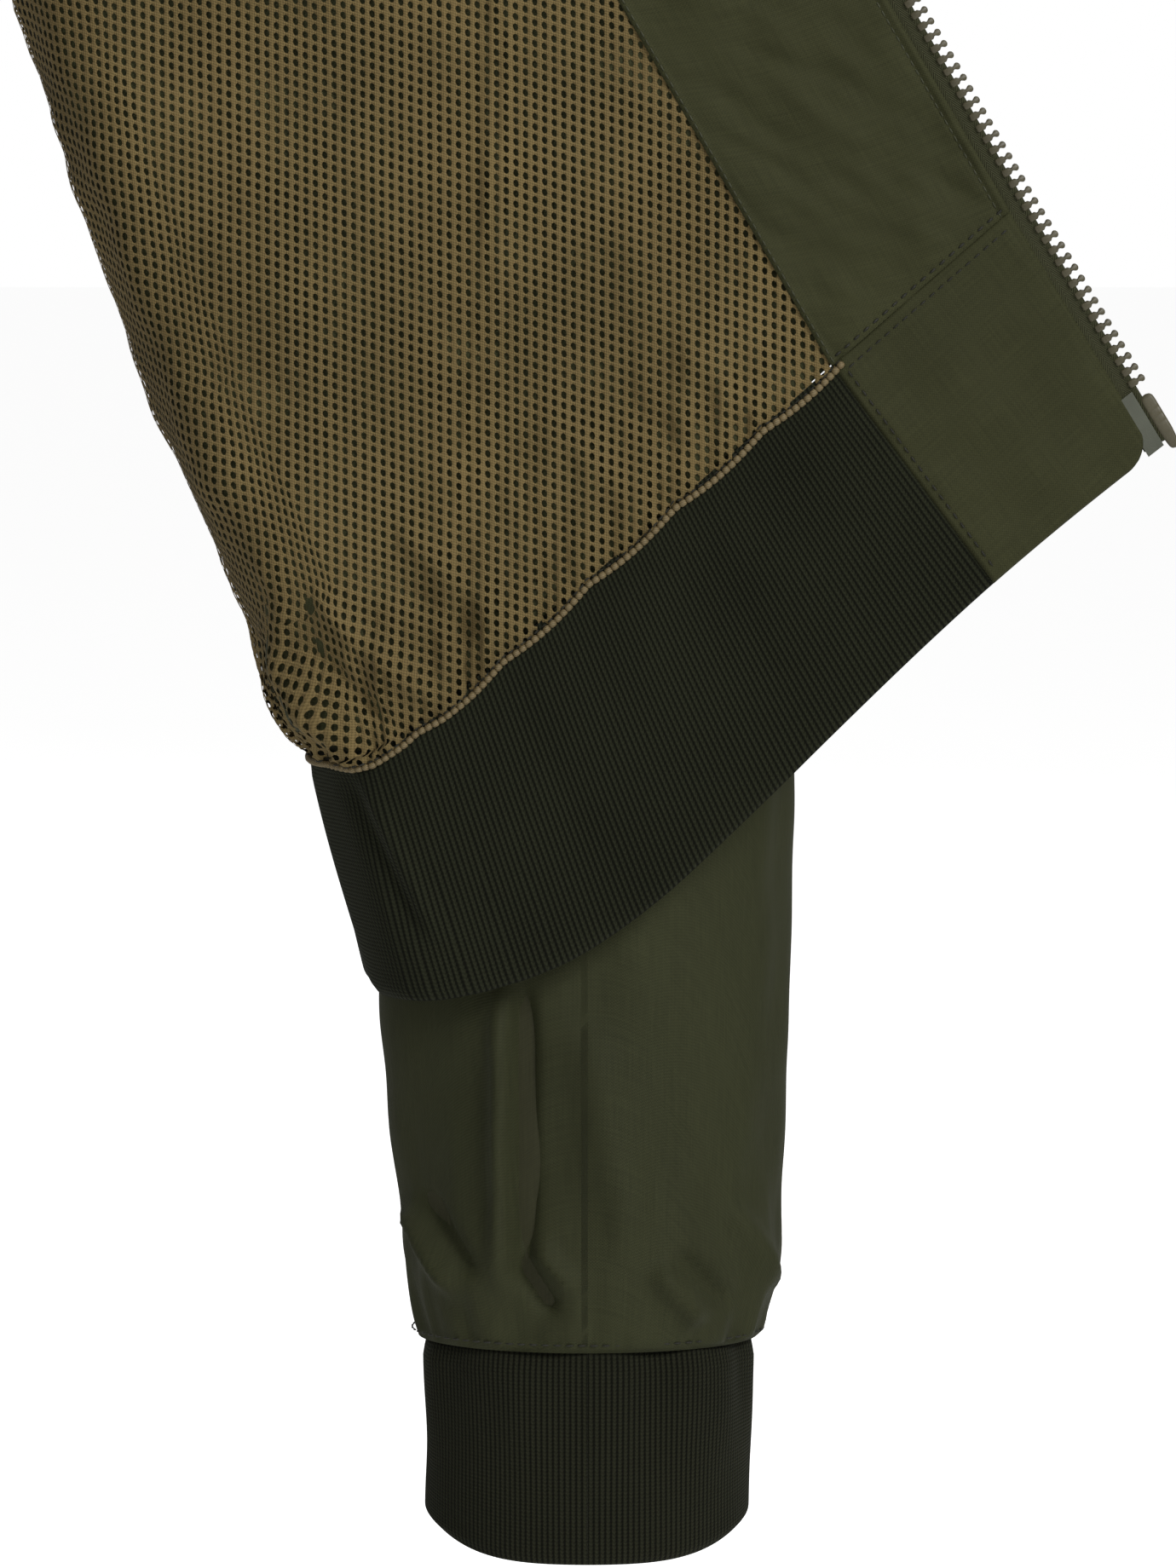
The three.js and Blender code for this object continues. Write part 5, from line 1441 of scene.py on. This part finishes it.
@dataclass
class TorsoPanel:
    """A panel of the torso: shell, mesh lining and hem rib between two angles."""

    name: str
    torso: Torso
    start: float
    end: float
    seed: int
    shell_half: float = 0.6
    lining_depth: float = 1.6
    rows: int = 150

    def cloth(
        self, rows: Array, spacing: float, start: float | None = None, end: float | None = None
    ) -> Arrays:
        """A grid evenly spaced across the panel, with outward vectors, v and running width."""
        columns, run = even(self.torso.point, start or self.start, end or self.end, 0.9, spacing)
        v = np.broadcast_to(rows[:, None], (len(rows), len(columns)))
        grid = self.torso.point(np.broadcast_to(columns, v.shape), v)
        calm = self.torso.point(np.broadcast_to(np.clip(columns, -89.5, 89.5), v.shape), v)
        normal = normals_of(calm) * self.torso.side
        return grid, normal, v, np.broadcast_to(run, v.shape)

    def relief(self, grid: Array, v: Array, run: Array) -> Array:
        """Blousing over the rib, soft drape folds that hang from shoulder to hem, and gathers at the rib."""
        x, z = grid[..., 0], grid[..., 2]
        near = np.exp(-np.maximum(1 - v, 0) / 0.05)
        drape = 2.2 * waves(x, z, 110, self.seed, 3.5) * smooth(0.1, 0.5, v)
        soft = 0.9 * waves(x, z, 38, self.seed + 1, 1.4)
        large, small = waves(run, z, 20, self.seed + 2, 4.0), waves(run, z, 9, self.seed + 3, 4.0)
        gathers = near * (1.3 * large + 0.6 * small)
        blouse = 4.0 * bell(v - 0.95, 0.05)
        hold = self.inside(run, 10) * smooth(0, 0.06, v) * smooth(SEAM_ROW, 0.975, v)
        return (drape + soft + gathers + blouse) * hold

    @staticmethod
    def inside(run: Array, reach: float) -> Array:
        """Returns 0 at the two side edges and 1 a reach inside them."""
        return smooth(0, reach, run) * smooth(0, reach, run.max() - run)

    def build(self, rib_start: float | None = None) -> None:
        """Builds the three layers.

        Args:
            rib_start: the angle at which the rib ends early, or none where it ends with the panel.
        """
        grid, normal, v, run = self.cloth(np.linspace(0, SEAM_ROW, self.rows), 2.6)
        lift = self.relief(grid, v, run)
        grid = grid + normal * np.maximum(lift, -1.5)[..., None]
        uv = np.stack([run, lengths(grid, 0)], -1) / 1000
        points, faces, uv = slab(grid, normal, -self.shell_half, self.shell_half, uv)
        shell = new_piece(f"{self.name}_shell_cloth", points, faces, uv, OLIVE, Slot.SHELL)
        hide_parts(f"{self.name}_shell")
        declare(shell, grid)
        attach(shell, Body.JACKET.value)
        inner = grid - normal * self.lining_depth
        side = np.cross(inner[0, 1] - inner[0, 0], inner[1, 0] - inner[0, 0]) @ normal[0, 0]
        faces = grid_faces(*inner.shape[:2])[:, :: 1 if side > 0 else -1]
        uv = np.stack([run, inner[..., 2]], -1) / 1000
        lining = new_piece(f"{self.name}_mesh_lining", inner.reshape(-1, 3), faces, uv, KHAKI, Slot.MESH)
        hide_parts(f"{self.name}_lining")
        declare(lining, inner)
        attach(lining, Body.JACKET.value)
        t = two_steps(0.9, 12, 6)
        grid, normal, v, run = self.cloth(mix(0.996, 2.0, t), RIB_WALE / WALE_COLUMNS, end=rib_start)
        wavy = waves(run, grid[..., 2], 60, self.seed + 5, 3.0) * self.inside(run, 8)
        tucked = 1.0 if rib_start is None else mix(1.0, 0.25, smooth(run.max() - 3.2, run.max() - 1.2, run))
        high = ribbed(run, t) * tucked
        grid = grid + normal * wavy[..., None]
        points, faces, uv = slab(grid, normal, -high, high, np.stack([run, RIB_HEIGHT * (v - 1)], -1) / 1000)
        rib = new_piece(f"{self.name}_hem_rib_knit", points, faces, uv, RIB, Slot.RIB)
        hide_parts("back_hem_rib" if self.name == "back" else f"{self.name}_rib")
        declare(rib, grid)
        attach(rib, Body.JACKET.value)


@dataclass
class RightEdge:
    """Facing and placket of the right front."""

    def build(self) -> None:
        """Builds the two sheets on the zip side."""
        far, near = angle_at(-ZIP_OFFSET - FACING), angle_at(-ZIP_OFFSET - FACING_EDGE)
        panel = TorsoPanel("right_front", RIGHT_FRONT, far, near, 95)
        grid, normal, v, run = panel.cloth(np.linspace(0.0, SEAM_ROW, 120), 1.6)
        soft = 0.5 * waves(run, grid[..., 2], 34, 96)
        inner = grid - normal * (panel.lining_depth + np.maximum(soft, -0.3))[..., None]
        points, faces, uv = slab(inner, normal, -0.5, 0.5, np.stack([run, lengths(grid, 0)], -1) / 1000)
        facing = new_piece("right_front_facing_cloth", points, faces, uv, OLIVE, Slot.SHELL)
        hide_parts("right_front_facing")
        declare(facing, inner)
        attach(facing, Body.JACKET.value)
        start = angle_at(-ZIP_OFFSET - PLACKET)
        grid, normal, v, run = panel.cloth(np.linspace(1.0, 2.0, 60), 1.4, start=start)
        edge = eased(np.minimum(np.minimum(run, run.max() - run), RIB_HEIGHT * (2 - v)))
        uv = np.stack([run, RIB_HEIGHT * v], -1) / 1000
        points, faces, uv = slab(grid, normal, -PLACKET_HALF * edge, PLACKET_HALF * edge, uv)
        placket = new_piece("right_hem_placket_cloth", points, faces, uv, OLIVE, Slot.SHELL)
        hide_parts("right_hem_placket")
        declare(placket, grid)
        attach(placket, Body.JACKET.value)
        top = grid + normal * (PLACKET_HALF - STITCH_SINK)
        rows = [(top[2:-2, 3], normal[2:-2, 3]), (top[3, 2:-2], normal[3, 2:-2])]
        stitches = seam_piece("right_placket_stitches", rows, SEAM_THREAD, Stitches(3.2, 2.2, 0.26))
        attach(stitches, Body.JACKET.value)


@dataclass
class Collar:
    """The rib collar that stands on the neck edge from the right zip round to the left fold."""

    lean: float = 8.0
    tuck: float = 2.5

    @staticmethod
    def edge() -> Array:
        """Points along the neck edge: right front, back, then the left front's top edge."""
        angles = np.linspace(angle_at(-ZIP_OFFSET - ZIP_STRIP), angle_at(-NECK_X), 60)
        right = RIGHT_FRONT.point(angles, np.zeros(60))
        back = BACK.point(np.linspace(angle_at(-NECK_X) + 1, angle_at(NECK_X) - 1, 90), np.zeros(90))
        left = LeftFront.inner(np.linspace(0.6, 1.0, 40), np.zeros(40))
        return np.concatenate([right, back, left])

    def build(self) -> None:
        """Builds the collar with wales that stand up from the neck, rounded at its top."""
        base = self.edge()
        run = lengths(base[None], 1)[0]
        at = np.linspace(0, run[-1], int(run[-1] / RIB_WALE * WALE_COLUMNS))
        base = np.stack([np.interp(at, run, base[:, k]) for k in range(3)], -1)
        kernel = np.hanning(61) / np.hanning(61).sum()
        padded = np.pad(base, ((30, 30), (0, 0)), mode="reflect", reflect_type="odd")
        base = np.stack([np.convolve(padded[:, k], kernel, "valid") for k in range(3)], -1)
        t = two_steps(0.88, 18, 7)
        towards = -base * np.array([1, 1, 0]) / np.linalg.norm(base[:, :2], axis=1)[:, None]
        grid = base[None] + self.lean * t[:, None, None] * towards[None]
        grid[..., 2] += mix(-self.tuck, COLLAR_HEIGHT + 1.0, t)[:, None]
        outward = -np.broadcast_to(towards[None], grid.shape)
        up = COLLAR_HEIGHT * t[:, None]
        grid = grid + outward * (1.2 * waves(at[None], up, 60, 111, 1.0) * t[:, None])[..., None]
        high = ribbed(at[None], t)
        uv = np.stack(np.broadcast_arrays(at[None], up), -1) / 1000
        points, faces, uv = slab(grid, outward, -high, high, uv)
        collar = new_piece("collar_rib_knit", points, faces, uv, RIB, Slot.RIB)
        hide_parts("collar_rib")
        declare(collar, grid)
        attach(collar, Body.JACKET.value)


# ---- Stage ----

SENSOR_HEIGHT = 36.0


@dataclass(frozen=True)
class Stage:
    """A pale floor, a white surround, soft lights and the camera at the side of the jacket."""

    distance: float = 1.8
    plane_x: float = 0.35
    centre: tuple[float, float, float] = (0.0, -0.0343, -0.5542)
    elevation: float = 5.5
    view_height: float = 0.428
    floor_level: float = -1.05
    floor_reach: float = 30.0
    lamps: tuple = (
        ("key_light", (2.2, 1.4, 0.9), 0.9, 40),
        ("fill_light", (3.0, -0.2, 0.2), 1.4, 12),
        ("top_light", (0.5, -0.2, 2.4), 1.4, 22),
        ("back_light", (-2.6, 1.4, 1.4), 1.8, 26),
        ("front_light", (-2.2, -2.2, 0.9), 1.6, 12),
    )

    def floor(self) -> None:
        """A wide pale sheet under the jacket."""
        n = Nodes("studio_paper")
        cloud = n.noise(n.place(), 3.0, 2.0)
        seen = n.make("ShaderNodeLightPath", None, None, "Is Camera Ray")
        paper = n.finish({
            "Base Color": n.blend(cloud, (0.8, 0.8, 0.79), (0.84, 0.84, 0.83)),
            "Roughness": 0.9,
            "Emission Color": n.blend(seen, (0.12, 0.12, 0.12), (1.0, 1.0, 1.0)),
            "Emission Strength": 0.9,
        })
        ground = np.linspace(-self.floor_reach, self.floor_reach, 13)
        grid = vector(ground[None, :], ground[:, None], self.floor_level)
        mesh = bpy.data.meshes.new("studio_floor")
        mesh.from_pydata(grid.reshape(-1, 3).tolist(), [], grid_faces(13, 13).tolist())
        mesh.materials.append(paper)
        floor = bpy.data.objects.new("studio_floor", mesh)
        bpy.context.scene.collection.objects.link(floor)

    def lamp(self, name: str, place: Sequence[float], size: float, power: float) -> None:
        """An area light turned to the jacket."""
        data = bpy.data.lights.new(name, "AREA")
        data.shape, data.size, data.energy = "SQUARE", size, power
        lamp = bpy.data.objects.new(name, data)
        bpy.context.scene.collection.objects.link(lamp)
        lamp.location = place
        lamp.rotation_euler = (Vector(self.centre) - Vector(place)).to_track_quat("-Z", "Y").to_euler()

    def build(self) -> None:
        """Makes floor, lights, world and camera."""
        self.floor()
        for entry in self.lamps:
            self.lamp(*entry)
        self.surround()
        self.camera()

    @staticmethod
    def surround() -> None:
        """A world that is white to the camera and dim to the jacket."""
        world = bpy.data.worlds.new("studio")
        world.use_nodes = True
        tree = world.node_tree
        soft, white = tree.nodes["Background"], tree.nodes.new("ShaderNodeBackground")
        both = tree.nodes.new("ShaderNodeMixShader")
        soft.inputs[0].default_value = white.inputs[0].default_value = (1, 1, 1, 1)
        soft.inputs[1].default_value, white.inputs[1].default_value = 0.08, 1.0
        tree.links.new(tree.nodes.new("ShaderNodeLightPath").outputs["Is Camera Ray"], both.inputs[0])
        tree.links.new(soft.outputs[0], both.inputs[1])
        tree.links.new(white.outputs[0], both.inputs[2])
        tree.links.new(both.outputs[0], tree.nodes["World Output"].inputs[0])
        bpy.context.scene.world = world
        bpy.context.scene.view_settings.view_transform = "Standard"

    def camera(self) -> None:
        """A level camera whose frame, at the plane of the flap, is view_height metres high."""
        data = bpy.data.cameras.new("camera")
        tilt = math.radians(self.elevation)
        reach = self.distance + self.plane_x
        data.lens_unit = "FOV"
        data.sensor_fit = "VERTICAL"
        data.sensor_height = SENSOR_HEIGHT
        data.lens = SENSOR_HEIGHT / 2 * self.distance / (self.view_height / 2)
        camera = bpy.data.objects.new("camera", data)
        height = self.centre[2] + self.distance * math.sin(tilt)
        camera.location = (reach * math.cos(tilt), self.centre[1], height)
        camera.rotation_euler = (math.pi / 2 - tilt, 0, math.pi / 2)
        bpy.context.scene.collection.objects.link(camera)
        bpy.context.scene.camera = camera


def dress(frame: dict) -> None:
    """Gives the shown solids their finishes."""
    finishes = {
        METAL: ("zip_slider", "slider_pull_tab"),
        TEETH: ("right_top_stop", "right_retainer_box"),
        FILM: ("left_tape_film", "right_tape_film"),
        LOOP_CORD: ("hanger_loop",),
    }
    for finish, names in finishes.items():
        for name in names:
            node = frame["nodes"][name]
            node.data.materials.clear()
            node.data.materials.append(material_of(finish))


LEFT_CREASES = (
    ((-23.5, -600), (-22.5, -680), 3.6, 2.6), ((-18.0, -598), (-18.5, -676), 2.8, -2.8),
    ((-19.5, -674), (-9.0, -688), 2.2, -2.0), ((-14.0, -670), (-4.0, -682), 2.4, 1.6),
    ((18.0, -676), (30.0, -692), 3.0, 1.8), ((24.0, -672), (38.0, -688), 2.6, -1.4),
    ((-52.0, -662), (-36.0, -684), 2.6, 1.8), ((-46.0, -658), (-30.0, -678), 2.4, -1.4),
    ((40.0, -660), (52.0, -688), 3.0, 1.4), ((2.0, -612), (10.0, -668), 7.0, 1.3),
)


def main() -> None:
    """Builds the jacket's pieces in order, then the stage."""
    logging.basicConfig(level=logging.INFO, format="%(name)s %(message)s")
    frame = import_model()
    dress(frame)
    Collar().build()
    TorsoPanel("back", BACK, -90.0, 90.0, 120).build()
    edge = angle_at(-ZIP_OFFSET - ZIP_STRIP)
    TorsoPanel("right_front", RIGHT_FRONT, -90.0, edge, 140).build(angle_at(-ZIP_OFFSET - PLACKET + 1.6))
    RightEdge().build()
    LeftFrontPanels().build()
    LeftZip().build()
    RightZip().build()
    Sleeve(1, "left_sleeve", Body.LEFT_SLEEVE, LEFT_CREASES).build()
    Sleeve(-1, "right_sleeve", Body.RIGHT_SLEEVE).build()
    Stage().build()


if __name__ == "__main__":
    main()
